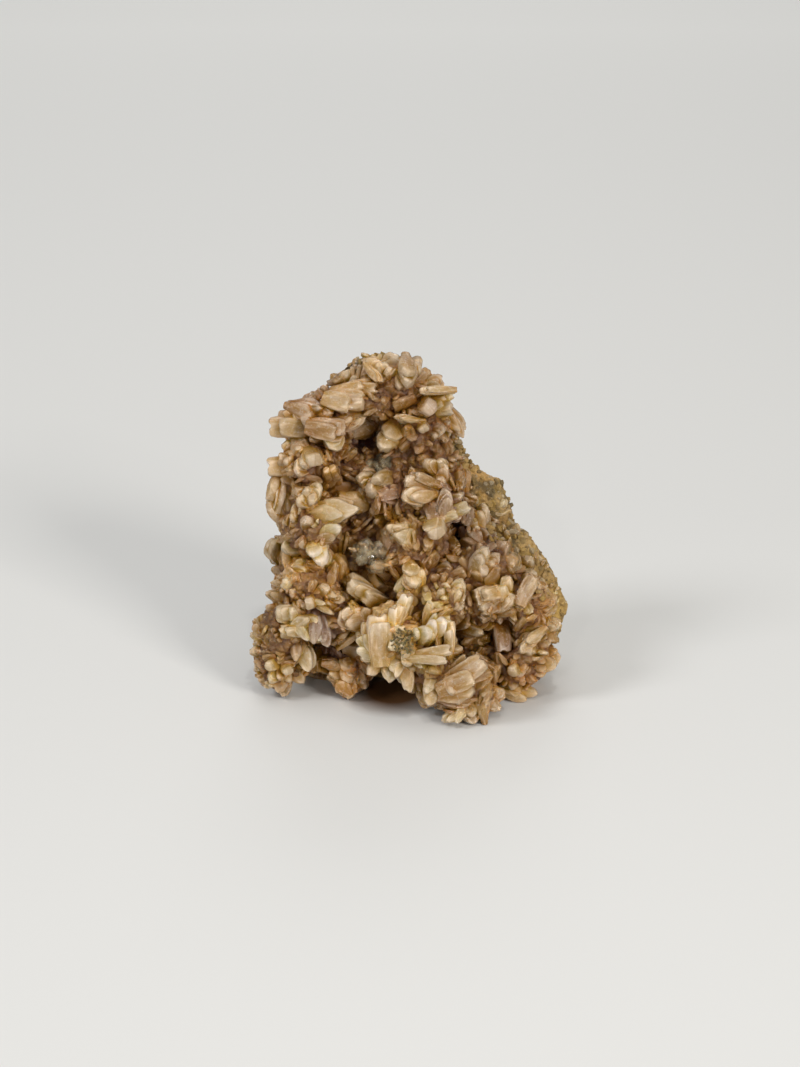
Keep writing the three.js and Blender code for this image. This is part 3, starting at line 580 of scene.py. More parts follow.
# A node tree is put together from small named steps.
class Nodes:
    def __init__(self, name):
        self.material = bpy.data.materials.new(name)
        self.material.use_nodes = True
        self.tree = self.material.node_tree
        self.shader = self.tree.nodes["Principled BSDF"]

    def add(self, kind, inputs=None, **settings):
        node = self.tree.nodes.new("ShaderNode" + kind)
        for key, value in settings.items():
            setattr(node, key, value)
        for key, value in (inputs or {}).items():
            self.put(node.inputs[key], value)
        return node

    def put(self, socket, value):
        if isinstance(value, bpy.types.NodeSocket):
            self.tree.links.new(value, socket)
        else:
            socket.default_value = value

    def mapped(self, source, output, scale, turn=(0, 0, 0)):
        place = self.add("TexCoord") if source is None else source
        mapping = self.add("Mapping", {"Vector": place.outputs[output], "Scale": scale, "Rotation": turn})
        return mapping.outputs[0]

    def noise(self, vector, scale, detail=2.0, roughness=0.55, distortion=0.0):
        inputs = {"Vector": vector, "Scale": scale, "Detail": detail, "Roughness": roughness}
        return self.add("TexNoise", {**inputs, "Distortion": distortion}).outputs["Fac"]

    def spread(self, value, low, high, toLow=0.0, toHigh=1.0):
        inputs = {0: value, 1: low, 2: high, 3: toLow, 4: toHigh}
        return self.add("MapRange", inputs, clamp=True).outputs[0]

    def math(self, operation, a, b):
        return self.add("Math", {0: a, 1: b}, operation=operation).outputs[0]

    def blend(self, share, a, b, how="MIX"):
        node = self.add("Mix", data_type="RGBA", blend_type=how, clamp_factor=True)
        self.put(node.inputs[0], share)
        self.put(node.inputs[6], a)
        self.put(node.inputs[7], b)
        return node.outputs[2]

    def attribute(self, name, output="Fac"):
        return self.add("Attribute", attribute_name=name).outputs[output]

    def bump(self, height, strength, distance, normal=None):
        inputs = {"Height": height, "Strength": strength, "Distance": distance}
        if normal is not None:
            inputs["Normal"] = normal
        return self.add("Bump", inputs).outputs[0]

    def finish(self, values):
        for key, value in values.items():
            self.put(self.shader.inputs[key], value)
        return self.material


stilbiteFinish = {
    "rootShade": (0.90, 0.80, 0.50, 1),    # painted shade: what a blade's colour is multiplied by at its root
    "deepShade": (0.70, 0.58, 0.16, 1),    # painted shade deep in the druse
    "closedShade": (0.88, 0.765, 0.32, 1),  # and painted shade where other blades stand close
    "rimColour": (0.77, 0.665, 0.56, 1),    # painted highlight on the rounded edges
    "rimShare": 0.26,
    "fleckColour": (0.84, 0.75, 0.64, 1),
    "sparkColour": (0.94, 0.90, 0.84, 1),  # painted glints: the smallest, whitest spots
    "veilColour": (0.74, 0.63, 0.51, 1),   # the cloudy flaws inside
    "clearness": (0.3, 0.0),               # how see-through the clear and the cloudy parts are
    "scatter": 0.85,
    "scatterDepth": 0.0022,
}


def makeStilbite(name, granular):
    s = stilbiteFinish
    n = Nodes(name)
    place = n.mapped(None, "Object", (1000, 1000, 1000))
    along = n.mapped(n.add("UVMap", uv_map="blade"), "UV", (20, 1.2, 1))
    cloud = n.noise(place, 0.18, 2)
    flaws = n.noise(n.mapped(n.add("UVMap", uv_map="blade"), "UV", (3, 1.6, 1)), 1.0, 4, 0.6, 0.4)
    streak = n.noise(along, 1.0, 5, 0.68)
    outer = n.spread(n.attribute("deep"), 0.2, 5.2)
    free = n.spread(n.attribute("open"), 0.3, 0.85)
    tint = n.attribute("tint", "Color")
    # painted shade: darker at the root, deep in the druse and where other blades stand close in
    colour = n.blend(n.spread(n.attribute("tip"), 0.1, 0.9, 1, 0), tint, s["rootShade"], "MULTIPLY")
    colour = n.blend(n.spread(outer, 0, 1, 1, 0), colour, s["deepShade"], "MULTIPLY")
    colour = n.blend(n.spread(free, 0, 1, 1, 0), colour, s["closedShade"], "MULTIPLY")
    colour = n.blend(n.spread(streak, 0.38, 0.62, 0, 0.28), colour, (0.84, 0.72, 0.48, 1), "MULTIPLY")
    colour = n.blend(n.spread(cloud, 0.42, 0.62, 0, 0.8), colour, (0.80, 0.68, 0.42, 1), "MULTIPLY")
    specks = n.noise(place, 1.5, 5, 0.75)
    colour = n.blend(n.spread(specks, 0.47, 0.3, 0, 0.55), colour, (0.66, 0.50, 0.28, 1), "MULTIPLY")
    # painted glints: pale flecks and whiter sparks, only on open surfaces
    fleck = n.math("MULTIPLY", n.spread(specks, 0.54, 0.7, 0, 0.5), free)
    colour = n.blend(fleck, colour, s["fleckColour"])
    spark = n.math("MULTIPLY", n.spread(n.noise(place, 0.85, 6, 0.8), 0.66, 0.7), free)
    if granular:
        cells = n.add("TexVoronoi", {"Vector": place, "Scale": 0.55})
        fine = n.add("TexVoronoi", {"Vector": place, "Scale": 1.3})
        own = n.add("SeparateColor", {"Color": cells.outputs["Color"]}).outputs[0]
        colour = n.blend(n.spread(own, 0, 1, 0, 0.6), colour, (0.62, 0.50, 0.32, 1), "MULTIPLY")
        joint = n.spread(cells.outputs["Distance"], 0.3, 0.75, 0, 0.75)
        colour = n.blend(joint, colour, (0.45, 0.28, 0.1, 1), "MULTIPLY")
    milky = n.spread(flaws, 0.45, 0.66)
    colour = n.blend(n.math("MULTIPLY", n.math("MULTIPLY", milky, 0.3), free), colour, s["veilColour"])
    # painted highlight: pale rounded edges, paler where a point is open
    pale = n.math("MULTIPLY", n.attribute("rim"), n.spread(free, 0, 0.8, 0.0, s["rimShare"]))
    colour = n.blend(pale, colour, s["rimColour"])
    colour = n.blend(spark, colour, s["sparkColour"])
    gloss = n.spread(n.noise(place, 0.9, 2), 0.35, 0.7, 0.05, 0.22)
    gloss = n.math("MAXIMUM", gloss, n.spread(outer, 0, 0.35, 0.6, 0.1))
    rough = n.bump(streak, 0.5, 0.00018)
    rough = n.bump(n.noise(place, 1.1, 4, 0.6), 0.5, 0.0002, rough)
    rough = n.bump(specks, 0.5, 0.0002, rough)
    if granular:
        rough = n.bump(cells.outputs["Distance"], 1.0, -0.0007, rough)
        rough = n.bump(fine.outputs["Distance"], 0.8, -0.0003, rough)
    n.shader.subsurface_method = "BURLEY"
    return n.finish({
        "Base Color": colour, "Roughness": gloss, "Normal": rough, "IOR": 1.5, "Specular IOR Level": 0.9,
        "Transmission Weight": n.spread(milky, 0, 1, *s["clearness"]),
        "Subsurface Weight": s["scatter"], "Subsurface Radius": (0.5, 0.7, 1.0),
        "Subsurface Scale": s["scatterDepth"],
    })


def makeBasalt():
    n = Nodes("basalt_broken")
    place = n.mapped(None, "Object", (1000, 1000, 1000))
    grain = n.noise(place, 1.6, 6, 0.75)
    pits = n.add("TexVoronoi", {"Vector": place, "Scale": 0.9}, feature="F1").outputs["Distance"]
    tint = n.attribute("tint", "Color")
    colour = n.blend(n.spread(grain, 0.35, 0.7, 0.7, 0), tint, (0.30, 0.24, 0.17, 1), "MULTIPLY")
    light = n.noise(place, 3.1, 3, 0.6)
    colour = n.blend(n.spread(light, 0.6, 0.72, 0, 0.4), colour, (0.62, 0.55, 0.42, 1))
    rough = n.bump(grain, 0.8, 0.0005)
    rough = n.bump(pits, 0.4, 0.0003, rough)
    return n.finish({
        "Base Color": colour, "Roughness": n.spread(grain, 0.3, 0.7, 0.55, 0.9), "Normal": rough,
        "Specular IOR Level": 0.4,
    })


def makeClear():
    n = Nodes("apophyllite_clear")
    place = n.mapped(None, "Object", (1000, 1000, 1000))
    veil = n.spread(n.noise(place, 0.6, 5, 0.65), 0.42, 0.68)
    return n.finish({
        "Base Color": (0.92, 0.77, 0.50, 1), "Roughness": n.spread(veil, 0, 1, 0.02, 0.12), "IOR": 1.535,
        "Transmission Weight": n.spread(veil, 0, 1, 0.96, 0.62),
        "Normal": n.bump(n.noise(place, 2.0, 3), 0.2, 0.00012),
    })


print("materials")
stilbite = makeStilbite("stilbite_blades", False)
stilbiteGround = makeStilbite("stilbite_ground", True)
basalt = makeBasalt()
clear = makeClear()


druse = {
    "middle": (4, 40),        # the point its spokes run from
    "boxiness": 3,            # how square its edge is
    "front": (5, 0.1, 0.14),  # proud at the middle, and what it gains per mm across and along
    "back": (-7, 0.1, 0.2),
    "voxel": 0.7,
    "outline": [
        (-8, 76), (2, 74), (7, 67), (8.5, 60), (12, 50), (17, 43), (23, 35), (28, 28), (30, 18), (26, 11),
        (18, 8), (9, 10), (0, 13), (-9, 17), (-17, 18), (-25, 20), (-28, 28), (-27, 40), (-26, 52),
        (-24, 64), (-16, 72),
    ],
    # lumps: across, along, proud, half width, half height, half depth
    "lumps": [
        (-3, 71, 5, 8, 6, 7), (3, 63, 4, 6, 7, 7), (-16, 65, 6, 8, 5, 7.5), (-9, 68, 9, 6, 4.5, 5.5),
        (-20, 55, 5, 6.5, 6, 7.5), (-20, 43, 5, 7, 8, 7.5), (-2, 49, 4, 8, 6, 7), (7, 46, 4, 6, 8, 6.5),
        (2, 38, 5, 7, 7, 8), (15, 33, 4, 8, 7, 7), (-20, 29, 5, 7, 7, 7.5), (7, 27, 8, 7, 6, 8),
        (-2, 19, 9, 7, 7, 8.5), (-14, 23, 4, 7, 5, 7), (-16, 18.5, -2.5, 5.5, 5, 6.5), (5, 13, 9, 5, 8, 8),
        (12.5, 8, 8, 6.5, 6.5, 7.5), (23, 15, 2, 8, 7, 6.5), (24, 25, 3, 6, 6, 6.5),
        (16, 26, 4, 5.5, 5.5, 6), (-26, 20, 3, 5.5, 6, 6), (-27.5, 14, 1, 5.5, 6.5, 5),
        (-13, 13, -0.5, 4.8, 6.5, 5.5), (-18, 15, -6, 5, 6, 3),
    ],
}


# A ball drawn out to an outline on the face and to a front and a back sheet.
def makeSlab(spec):
    bm = bmesh.new()
    bmesh.ops.create_icosphere(bm, subdivisions=5, radius=1)
    middle = Vector(spec["middle"])
    rim = [Vector(p) - middle for p in spec["outline"]]
    ring = []
    steps = 12
    for i, p in enumerate(rim):
        a, b, c = rim[i - 1], rim[(i + 1) % len(rim)], rim[(i + 2) % len(rim)]
        for k in range(steps):
            t = k / steps
            ring.append(0.5 * ((2 * p) + (b - a) * t + (2 * a - 5 * p + 4 * b - c) * t * t
                               + (3 * p - a - 3 * b + c) * t ** 3))
    angles = np.array([math.atan2(p.y, p.x) for p in ring])
    reaches = np.array([p.length for p in ring])
    order = np.argsort(angles)
    for v in bm.verts:
        spoke = Vector((v.co.x, v.co.y))
        share = spoke.length
        swell = (share ** spec["boxiness"] + abs(v.co.z) ** spec["boxiness"]) ** (-1 / spec["boxiness"])
        angle = math.atan2(spoke.y, spoke.x)
        reach = float(np.interp(angle, angles[order], reaches[order], period=2 * math.pi))
        if share > 0:
            spoke *= swell * reach
        front = spec["front"][0] + spec["front"][1] * spoke.x + spec["front"][2] * spoke.y
        back = spec["back"][0] + spec["back"][1] * spoke.x + spec["back"][2] * spoke.y
        deep = (front + back) / 2 + (front - back) / 2 * swell * v.co.z
        v.co = (middle.x + spoke.x, middle.y + spoke.y, deep)
    return bm


# Moves every point of a mesh along its normal by what howFar gives for its place.
def displace(mesh, howFar):
    co = coordinates(mesh)
    amount = np.array([howFar(Vector(p)) for p in co], np.float32)
    mesh.vertices.foreach_set("co", (co + normals(mesh) * amount[:, None]).ravel())
    mesh.update()


def sitOn(mesh, ground):
    co = coordinates(mesh)
    co[:, 2] = np.maximum(co[:, 2], ground)
    mesh.vertices.foreach_set("co", co.ravel())
    mesh.update()


def remeshed(mesh, name, voxel):
    piece = bpy.data.objects.new(name, mesh)
    scene.collection.objects.link(piece)
    skin = piece.modifiers.new("skin", "REMESH")
    skin.mode = "VOXEL"
    skin.voxel_size = voxel
    return applied(piece)


def applied(piece):
    bpy.context.view_layer.update()
    done = bpy.data.meshes.new_from_object(piece.evaluated_get(bpy.context.evaluated_depsgraph_get()))
    piece.modifiers.clear()
    piece.data = done
    return piece


print("druse")
bm = makeSlab(druse)
for across, along, proud, a, b, c in druse["lumps"]:
    place = Matrix.Translation((across, along, proud)) @ Matrix.Diagonal((a, b, c, 1))
    bmesh.ops.create_icosphere(bm, subdivisions=3, radius=0.93, matrix=place)
drusePiece = remeshed(toMesh(bm, "stilbite_druse"), "stilbite_druse", druse["voxel"])


# hollows in the front: across, along, radius, depth
hollows = [
    (-8.7, 61.3, 4.8, 5), (10.6, 41, 3.2, 4.5), (19, 18.5, 4.5, 5), (-2.2, 28.8, 1.8, 3), (-6.2, 56, 3, 2.5),
]


# Broken facets: every cell of the druse tilts its own way.
def facets(p, size, height):
    place = p / size
    cell = noise.voronoi(place)[1][0]
    tilt = Vector([noise.noise(cell * 3.7 + Vector((k * 9, 5, 2))) for k in range(3)])
    return height * max(min((place - cell).dot(tilt) * 3 + noise.noise(cell * 5.1), 1), -1)


def druseRelief(p):
    sunk = 0
    for across, along, radius, depth in hollows:
        if p.z > -2:
            sunk += depth * smooth(1, 0.3, math.hypot(p.x - across, p.y - along) / radius)
    return facets(p, 2.6, 0.9) + facets(p, 1.3, 0.4) - 0.2 - sunk


displace(drusePiece.data, druseRelief)
drusePiece.data.transform(faceToPart)
sitOn(drusePiece.data, 0.0004)

# distances from the druse's skin, in mm, on a grid that every crystal reads its depth from
grid = {"low": (-38, -30, -2), "high": (38, 26, 74), "step": 1.5}


def distanceGrid(mesh):
    tree = BVHTree.FromPolygons([v.co for v in mesh.vertices], [p.vertices for p in mesh.polygons])
    step = grid["step"]
    axes = [np.arange(low, high + step, step) for low, high in zip(grid["low"], grid["high"])]
    values = np.zeros([len(a) for a in axes], np.float32)
    for i, x in enumerate(axes[0]):
        for j, y in enumerate(axes[1]):
            for k, z in enumerate(axes[2]):
                point = Vector((x, y, z)) / 1000
                near, normal, index, distance = tree.find_nearest(point)
                values[i, j, k] = distance * 1000 * (1 if (point - near).dot(normal) > 0 else -1)
    return values


depths = distanceGrid(drusePiece.data)


def depthAt(co):
    place = (co * 1000 - np.array(grid["low"])) / grid["step"]
    place = np.clip(place, 0, np.array(depths.shape) - 1.001)
    cell = place.astype(int)
    part = place - cell
    total = np.zeros(len(co), np.float32)
    for corner in range(8):
        pick = np.array([corner & 1, corner >> 1 & 1, corner >> 2])
        weight = np.prod(np.where(pick, part, 1 - part), axis=1)
        total += weight * depths[tuple((cell + pick).T)]
    return total


print("blade shapes")
fineBlades = {
    "petal": [makeBlade(i, "petal", 1 + i % 3, fineCuts) for i in range(8)],
    "block": [makeBlade(20 + i, "block", 1 + i % 2, fineCuts) for i in range(5)],
    "point": [makeBlade(40 + i, "point", 1 + i % 2, fineCuts) for i in range(3)],
    "cap": [makeBlade(50 + i, "cap", 1 + i % 2, fineCuts) for i in range(4)],
}
lightBlades = {
    "petal": [makeBlade(100 + i, "petal", 1, lightCuts) for i in range(8)],
    "block": [makeBlade(120 + i, "block", 1, lightCuts) for i in range(5)],
    "point": [makeBlade(140 + i, "point", 1, lightCuts) for i in range(3)],
    "cap": [makeBlade(160 + i, "petal", 1, lightCuts) for i in range(4)],
}
smallBlades = [makeBlade(60 + i, ("petal", "petal", "block")[i % 3], 1, smallCuts) for i in range(12)]


# Blades that lie face to face and spread from one root: their places beside the middle one.
def fanned(rng, middle, length, thick, layers, fan):
    places = []
    for layer in layers:
        angle = math.radians(layer * rng.uniform(*fan))
        side = math.radians(rng.uniform(-15, 15))
        share = 1 - 0.04 * abs(layer) - rng.uniform(0.02, 0.24)
        places.append((
            middle
            @ Matrix.Translation((0, -length, layer * thick * 0.3))
            @ Matrix.Rotation(angle, 4, "X")
            @ Matrix.Rotation(side, 4, "Z")
            @ Matrix.Translation((0, length * share, 0)),
            share,
        ))
    return places


# The blades beside each blade of a sheaf: their layers above and below it and how they spread. A blade that
# points out of the face by more than "upTo" stands alone and has a rounded end.
companions = {"layers": (-2, -1, 1), "fan": (5, 9), "upTo": 58}


def sheafCopies(sheaf, seed):
    rng = random.Random(seed)
    copies = []
    for row in sheaf["rows"]:
        across, along, proud, lean, out, length, width, thick, turn = row[:9]
        habit, tint = row[9:] if len(row) > 9 else ("petal", rng.choice(sheaf["tints"]))
        alone = out > companions["upTo"]
        if alone:
            habit = "cap"
        turn += rng.uniform(-20, 20)
        place = crystalFrame(across, along, proud, lean, out, turn)
        size = bladeScale(width, length, thick * 0.8)
        colour = patched(varied(rng, tint), across, along)
        copies.append((rng.choice(fineBlades[habit]), faceToPart @ place @ size, colour, 1.0))
        layers = () if alone else companions["layers"]
        for beside, share in fanned(rng, place, length, thick, layers, companions["fan"]):
            u, v = beside.translation.x, beside.translation.y
            if inHollow(np.array([u]), np.array([v]))[0] > 0.1:
                continue
            wide = width * rng.uniform(0.7, 1.0)
            size = bladeScale(wide, length * share, thick * rng.uniform(0.55, 0.8))
            colour = varied(rng, tint if rng.random() < 0.7 else rng.choice(sheaf["tints"]))
            colour = patched(colour, across, along)
            copies.append((rng.choice(lightBlades[habit]), faceToPart @ beside @ size, colour, 0.8))
    return [c for c in copies if inCad(c[1].translation, 0.0)]


def inCad(place, margin):
    low, high = cadBox
    return all(low[k] + margin <= place[k] <= high[k] - margin for k in range(3))


# Points spread over a mesh at least apart from each other, as (place, normal); weight is where they may be.
def scatter(mesh, apart, tries, seed, weight):
    rng = np.random.default_rng(seed)
    mesh.calc_loop_triangles()
    tris = np.empty(len(mesh.loop_triangles) * 3, np.int32)
    mesh.loop_triangles.foreach_get("vertices", tris)
    corners = coordinates(mesh)[tris.reshape(-1, 3)]
    a, b, c = corners[:, 0], corners[:, 1], corners[:, 2]
    cross = np.cross(b - a, c - a)
    area = np.linalg.norm(cross, axis=1)
    normal = cross / np.maximum(area, 1e-18)[:, None]
    share = area * weight((a + b + c) / 3, normal)
    pick = rng.choice(len(area), tries, p=share / share.sum())
    r, s = np.sqrt(rng.random(tries)), rng.random(tries)
    place = a[pick] * (1 - r)[:, None] + b[pick] * (r * (1 - s))[:, None] + c[pick] * (r * s)[:, None]
    kept = np.full((tries, 3), 1e3)
    count = 0
    for point, way in zip(place, normal[pick]):
        if count == 0 or ((kept[:count] - point) ** 2).sum(axis=1).min() > apart ** 2:
            kept[count] = point
            count += 1
            yield Vector(point), Vector(way)


print("basalt")
basaltStone = {
    "voxel": 0.6,
    # lumps that close the back of the arch, low and out of sight: place and half sizes
    "archLumps": [((-4, 5.5, 2.5), (9, 6, 5)), ((6, 6, 2), (7, 5, 4.5)), ((-14, 5, 3), (6, 5, 5))],
    # how far its skin lies in from the solid: everywhere, and more where it is chipped and gritty
    "skin": (0.4, 0.5, 0.3),
    "stain": {"middle": (30, 24), "from": 9, "to": 3, "share": 0.8},
}
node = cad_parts["basalt_matrix"]
bm = bmesh.new()
bm.from_mesh(node.data)
bmesh.ops.remove_doubles(bm, verts=bm.verts, dist=1e-6)
bmesh.ops.scale(bm, vec=(1000, 1000, 1000), verts=bm.verts)
for middle, halves in basaltStone["archLumps"]:
    place = Matrix.Translation(middle) @ Matrix.Diagonal((*halves, 1))
    bmesh.ops.create_icosphere(bm, subdivisions=3, radius=1, matrix=place)
stonePiece = remeshed(toMesh(bm, "basalt"), "basalt", basaltStone["voxel"])


def stoneRelief(p):
    chip = noise.fractal(p * 0.18, 0.8, 2.2, 4)
    grit = noise.fractal(p * 0.8 + Vector((9, 4, 2)), 0.7, 2.2, 3)
    inset, chipped, gritty = basaltStone["skin"]
    return -(inset + chipped * smooth(-0.4, 0.6, chip) + gritty * smooth(-0.5, 0.5, grit))


displace(stonePiece.data, stoneRelief)
stonePiece.data.transform(Matrix.Scale(0.001, 4))
sitOn(stonePiece.data, 0)

# linear colours of the stone and its grains
stoneTints = {
    "earth": (0.29, 0.21, 0.11),
    "moss": (0.27, 0.22, 0.09),
    "grey": (0.19, 0.14, 0.06),
    "olive": (0.44, 0.285, 0.075),
    "tan": (0.62, 0.41, 0.16),
    "gold": (0.58, 0.38, 0.14),
    "yellow": (0.72, 0.47, 0.15),
    "white": (0.66, 0.55, 0.38),
}


def stoneColour(place):
    u, v, w = partToFace @ place
    p = place * 1000
    front = smooth(-17, -7, w - 0.1 * (u - 4) - 0.14 * (v - 40))
    earth = Vector(stoneTints["earth"]).lerp(Vector(stoneTints["olive"]), front)
    weathered = smooth(-0.25, 0.3, noise.fractal(p * 0.16, 0.7, 2, 4))
    colour = Vector(stoneTints["grey"]).lerp(earth, weathered)
    blotch = smooth(-0.3, 0.35, noise.fractal(p * 0.3 + Vector((3, 1, 8)), 0.7, 2, 4))
    colour = colour.lerp(Vector(stoneTints["tan"]), front * blotch)
    stain = basaltStone["stain"]
    share = smooth(stain["from"], stain["to"], (Vector((u, v)) - Vector(stain["middle"])).length)
    colour = colour.lerp(Vector(stoneTints["yellow"]), stain["share"] * share)
    return Vector(patched(colour, u, v))


stonePiece.data.materials.append(basalt)
stonePiece.data.shade_smooth()
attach(stonePiece, "root")
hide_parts("basalt_matrix")


# little sheaves that cover the druse between the large blades, sizes in mm
# shade darkens their tint as painted shade, more for the smaller blades that lie low between the large ones;
# rim is how strong the painted highlight on their edges is
fillers = {
    "medium": {
        "apart": 5.6, "clear": 4.5, "blades": (2, 4), "length": (7, 9.5), "width": (3.4, 5.6),
        "thick": (1.6, 2.7), "fan": (5, 10), "lean": 0.45, "flat": 0.7, "shows": 0.4, "rim": 0.55,
        "shade": (0.97, 0.93, 0.78), "shapes": lightBlades["petal"] + lightBlades["block"][:3],
    },
    "small": {
        "apart": 3.1, "clear": 2.4, "blades": (2, 3), "length": (4.6, 6.4), "width": (2.2, 4.0),
        "thick": (0.8, 1.4), "fan": (7, 14), "lean": 0.6, "flat": 0.75, "shows": 0.4, "rim": 0.3,
        "shade": (0.93, 0.85, 0.60), "shapes": lightBlades["petal"] + lightBlades["block"][:3],
    },
    "crust": {
        "apart": 2.3, "clear": 1.5, "blades": (1, 3), "length": (3.2, 4.6), "width": (1.4, 2.6),
        "thick": (0.8, 1.4), "fan": (8, 16), "lean": 0.9, "flat": 0.5, "shows": 0.34, "rim": 0.5,
        "shade": (0.94, 0.90, 0.66), "shapes": smallBlades,
        "tints": ("olive", "tan", "pale", "white", "olive"),
    },
    "tiny": {
        "apart": 2.4, "clear": 1.2, "blades": (1, 3), "length": (3.4, 4.6), "width": (1.3, 2.2),
        "thick": (0.7, 1.2), "fan": (8, 16), "lean": 0.8, "flat": 0.6, "shows": 0.42, "rim": 0.15,
        "shade": (0.88, 0.78, 0.46), "shapes": smallBlades,
    },
}

# the line across and along the face beyond which the flank is bare, gritty stone
flankLine = [
    (9.5, 62.2), (11.6, 54.5), (13.8, 48), (15, 41.5), (20.9, 37.2), (24.7, 32.3), (28.5, 27.9), (31.5, 24),
]
# and the stony ridge that runs up to the crown
ridgeLine = [(-27, 69.5), (-22, 71.5), (-16, 75), (-11.5, 78), (-8, 80)]


def onFace(places):
    turn = np.array(partToFace, np.float32)[:3, :3].T
    return (places @ turn + np.array(partToFace.translation, np.float32)).T


# How much a place belongs to the gritty flank, from 0 to 1.
def flankShare(u, v):
    edge = np.interp(v, [p[1] for p in reversed(flankLine)], [p[0] for p in reversed(flankLine)])
    inside = (v > 22) & (v < 66)
    ridge = np.interp(u, [p[0] for p in ridgeLine], [p[1] for p in ridgeLine])
    ridgeShare = np.where((u > -27) & (u < -7.5), np.clip(3.3 - np.abs(v - ridge) * 1.1, 0, 1), 0)
    return np.maximum(np.where(inside, np.clip((u - edge + 1) / 2, 0, 1), 0), ridgeShare)


def inHollow(u, v):
    share = np.zeros(len(u))
    for across, along, radius, depth in hollows:
        share = np.maximum(share, np.clip(1.6 - np.hypot(u - across, v - along) / radius * 1.6, 0, 1))
    return share


# A druse point shows unless it lies in the stone.
def showing(places, normal):
    u, v, w = onFace(places)
    bare = np.where(w > 0.1 * (u - 4) + 0.16 * (v - 40) - 1.5, 1.0, 0.03)
    return bare * (1 - 0.94 * flankShare(u, v)) * (1 - 0.97 * inHollow(u, v))


# Small blades stand on the front of the stone in patches.
def patchy(places, normal):
    u, v, w = onFace(places)
    front = np.where(w > 0.1 * (u - 4) + 0.16 * (v - 40) - 5, 1.0, 0.0)
    return front * np.array([smooth(-0.1, 0.25, noise.noise(Vector(p) * 220)) for p in places])


def addFillers(spec, seed):
    rng = random.Random(seed)
    ground, where = (stonePiece, patchy) if "tints" in spec else (drusePiece, showing)
    for place, normal in scatter(ground.data, spec["apart"] / 1000, 6000, seed, where):
        if rng.random() < spec["flat"]:
            # leans over, with its broad side outwards
            aside = normal.orthogonal().normalized()
            aside.rotate(Matrix.Rotation(rng.uniform(0, 6.28), 3, normal))
            tilt = rng.uniform(0.7, 1.2)
            aim = normal * math.cos(tilt) + aside * math.sin(tilt)
            wide = aim.cross(normal).normalized()
            wide.rotate(Matrix.Rotation(rng.uniform(-0.4, 0.4), 3, aim))
        else:
            aim = (normal + Vector([rng.uniform(-1, 1) for k in range(3)]) * spec["lean"]).normalized()
            wide = aim.orthogonal().normalized()
            wide.rotate(Matrix.Rotation(rng.uniform(0, 6.28), 3, aim))
        length, width, thick = (rng.uniform(*spec[key]) for key in ("length", "width", "thick"))
        middle = framed(place * 1000 + aim * length * spec["shows"], aim, wide)
        found, index, away = tips.find(middle.translation / 1000)
        if away < spec["clear"] / 1000:
            continue
        owner = owners[index]
        tint = rng.choice(spec.get("tints", sheaves[owner]["tints"] + ("tan",)))
        count = rng.randint(*spec["blades"])
        around = [i - (count - 1) / 2 for i in range(count)]
        for beside, share in fanned(rng, middle, length, thick * 2, around, spec["fan"]):
            size = bladeScale(width * rng.uniform(0.75, 1.1), length * share, thick * rng.uniform(0.9, 1.2))
            if inCad(beside.translation / 1000, 0.0006):
                matrix = Matrix.Scale(0.001, 4) @ beside @ size
                spot = partToFace @ place
                colour = patched([a * b for a, b in zip(varied(rng, tint), spec["shade"])], spot.x, spot.y)
                held[owner].append((rng.choice(spec["shapes"]), matrix, colour, spec["rim"]))


# Each little sheaf joins the large one whose blades stand nearest.
tips = KDTree(sum(len(sheaf["rows"]) for sheaf in sheaves.values()))
owners = []
for name, sheaf in sheaves.items():
    for row in sheaf["rows"]:
        tips.insert(faceToPart @ Vector(row[:3]), len(owners))
        owners.append(name)
tips.balance()
held = {name: sheafCopies(sheaf, seed + 1) for seed, (name, sheaf) in enumerate(sheaves.items())}
for seed, spec in enumerate(fillers.values()):
    addFillers(spec, 11 + seed)
held = {name: gathered(copies) for name, copies in held.items()}


# grains and crumbs that stand on the stone and on the bare flank of the druse, sizes in mm
grains = {
    "front": {
        "apart": 0.95, "tries": 12000, "size": (0.6, 2.0),
        "tints": ("olive", "tan", "olive", "grey", "white", "tan"),
    },
    "flank": {
        "apart": 0.95, "tries": 10000, "size": (0.6, 2.2),
        "tints": ("olive", "tan", "moss", "gold", "white", "olive"),
    },
    "back": {
        "apart": 1.7, "tries": 4000, "size": (0.4, 1.1),
        "tints": ("grey", "grey", "earth", "olive"),
    },
}
# a spot of grit on the pale head
grit = {
    "across": -0.9, "along": 18.5, "radius": 2.6, "count": 170, "size": (0.3, 0.75),
    "tints": ("moss", "olive", "grey", "moss", "gold"),
}


def makeGrain(seed):
    rng = random.Random(seed)
    bm = bmesh.new()
    bmesh.ops.create_icosphere(bm, subdivisions=1, radius=0.5)
    for v in bm.verts:
        v.co *= rng.uniform(0.65, 1.25)
    return asArrays(bm)


def onFront(places, normal):
    u, v, w = onFace(places)
    return np.where(w > 0.1 * (u - 4) + 0.16 * (v - 40) - 7, 1.0, 0.0)


def onFlank(places, normal):
    u, v, w = onFace(places)
    return flankShare(u, v) * np.where(w > 0.1 * (u - 4) + 0.16 * (v - 40) - 3, 1.0, 0.0)


grainShapes = [makeGrain(200 + i) for i in range(8)]
grainCopies = []
grounds = {
    "front": (stonePiece, onFront), "flank": (drusePiece, onFlank),
    "back": (stonePiece, lambda places, normal: 1 - onFront(places, normal)),
}
for seed, (side, spec) in enumerate(grains.items()):
    rng = random.Random(seed)
    ground, where = grounds[side]
    for place, normal in scatter(ground.data, spec["apart"] / 1000, spec["tries"], 31 + seed, where):
        size = rng.uniform(*spec["size"]) * 0.001
        stretch = Matrix.Diagonal((size, size * rng.uniform(0.7, 1.6), size * rng.uniform(0.6, 1.0), 1))
        turn = Matrix.Rotation(rng.uniform(0, 6.28), 4, normal)
        colour = Vector(stoneTints[rng.choice(spec["tints"])]).lerp(stoneColour(place), 0.4)
        colour *= rng.uniform(0.8, 1.15)
        matrix = Matrix.Translation(place - normal * size * 0.1) @ turn @ stretch
        grainCopies.append((rng.choice(grainShapes), matrix, colour, 0.0))

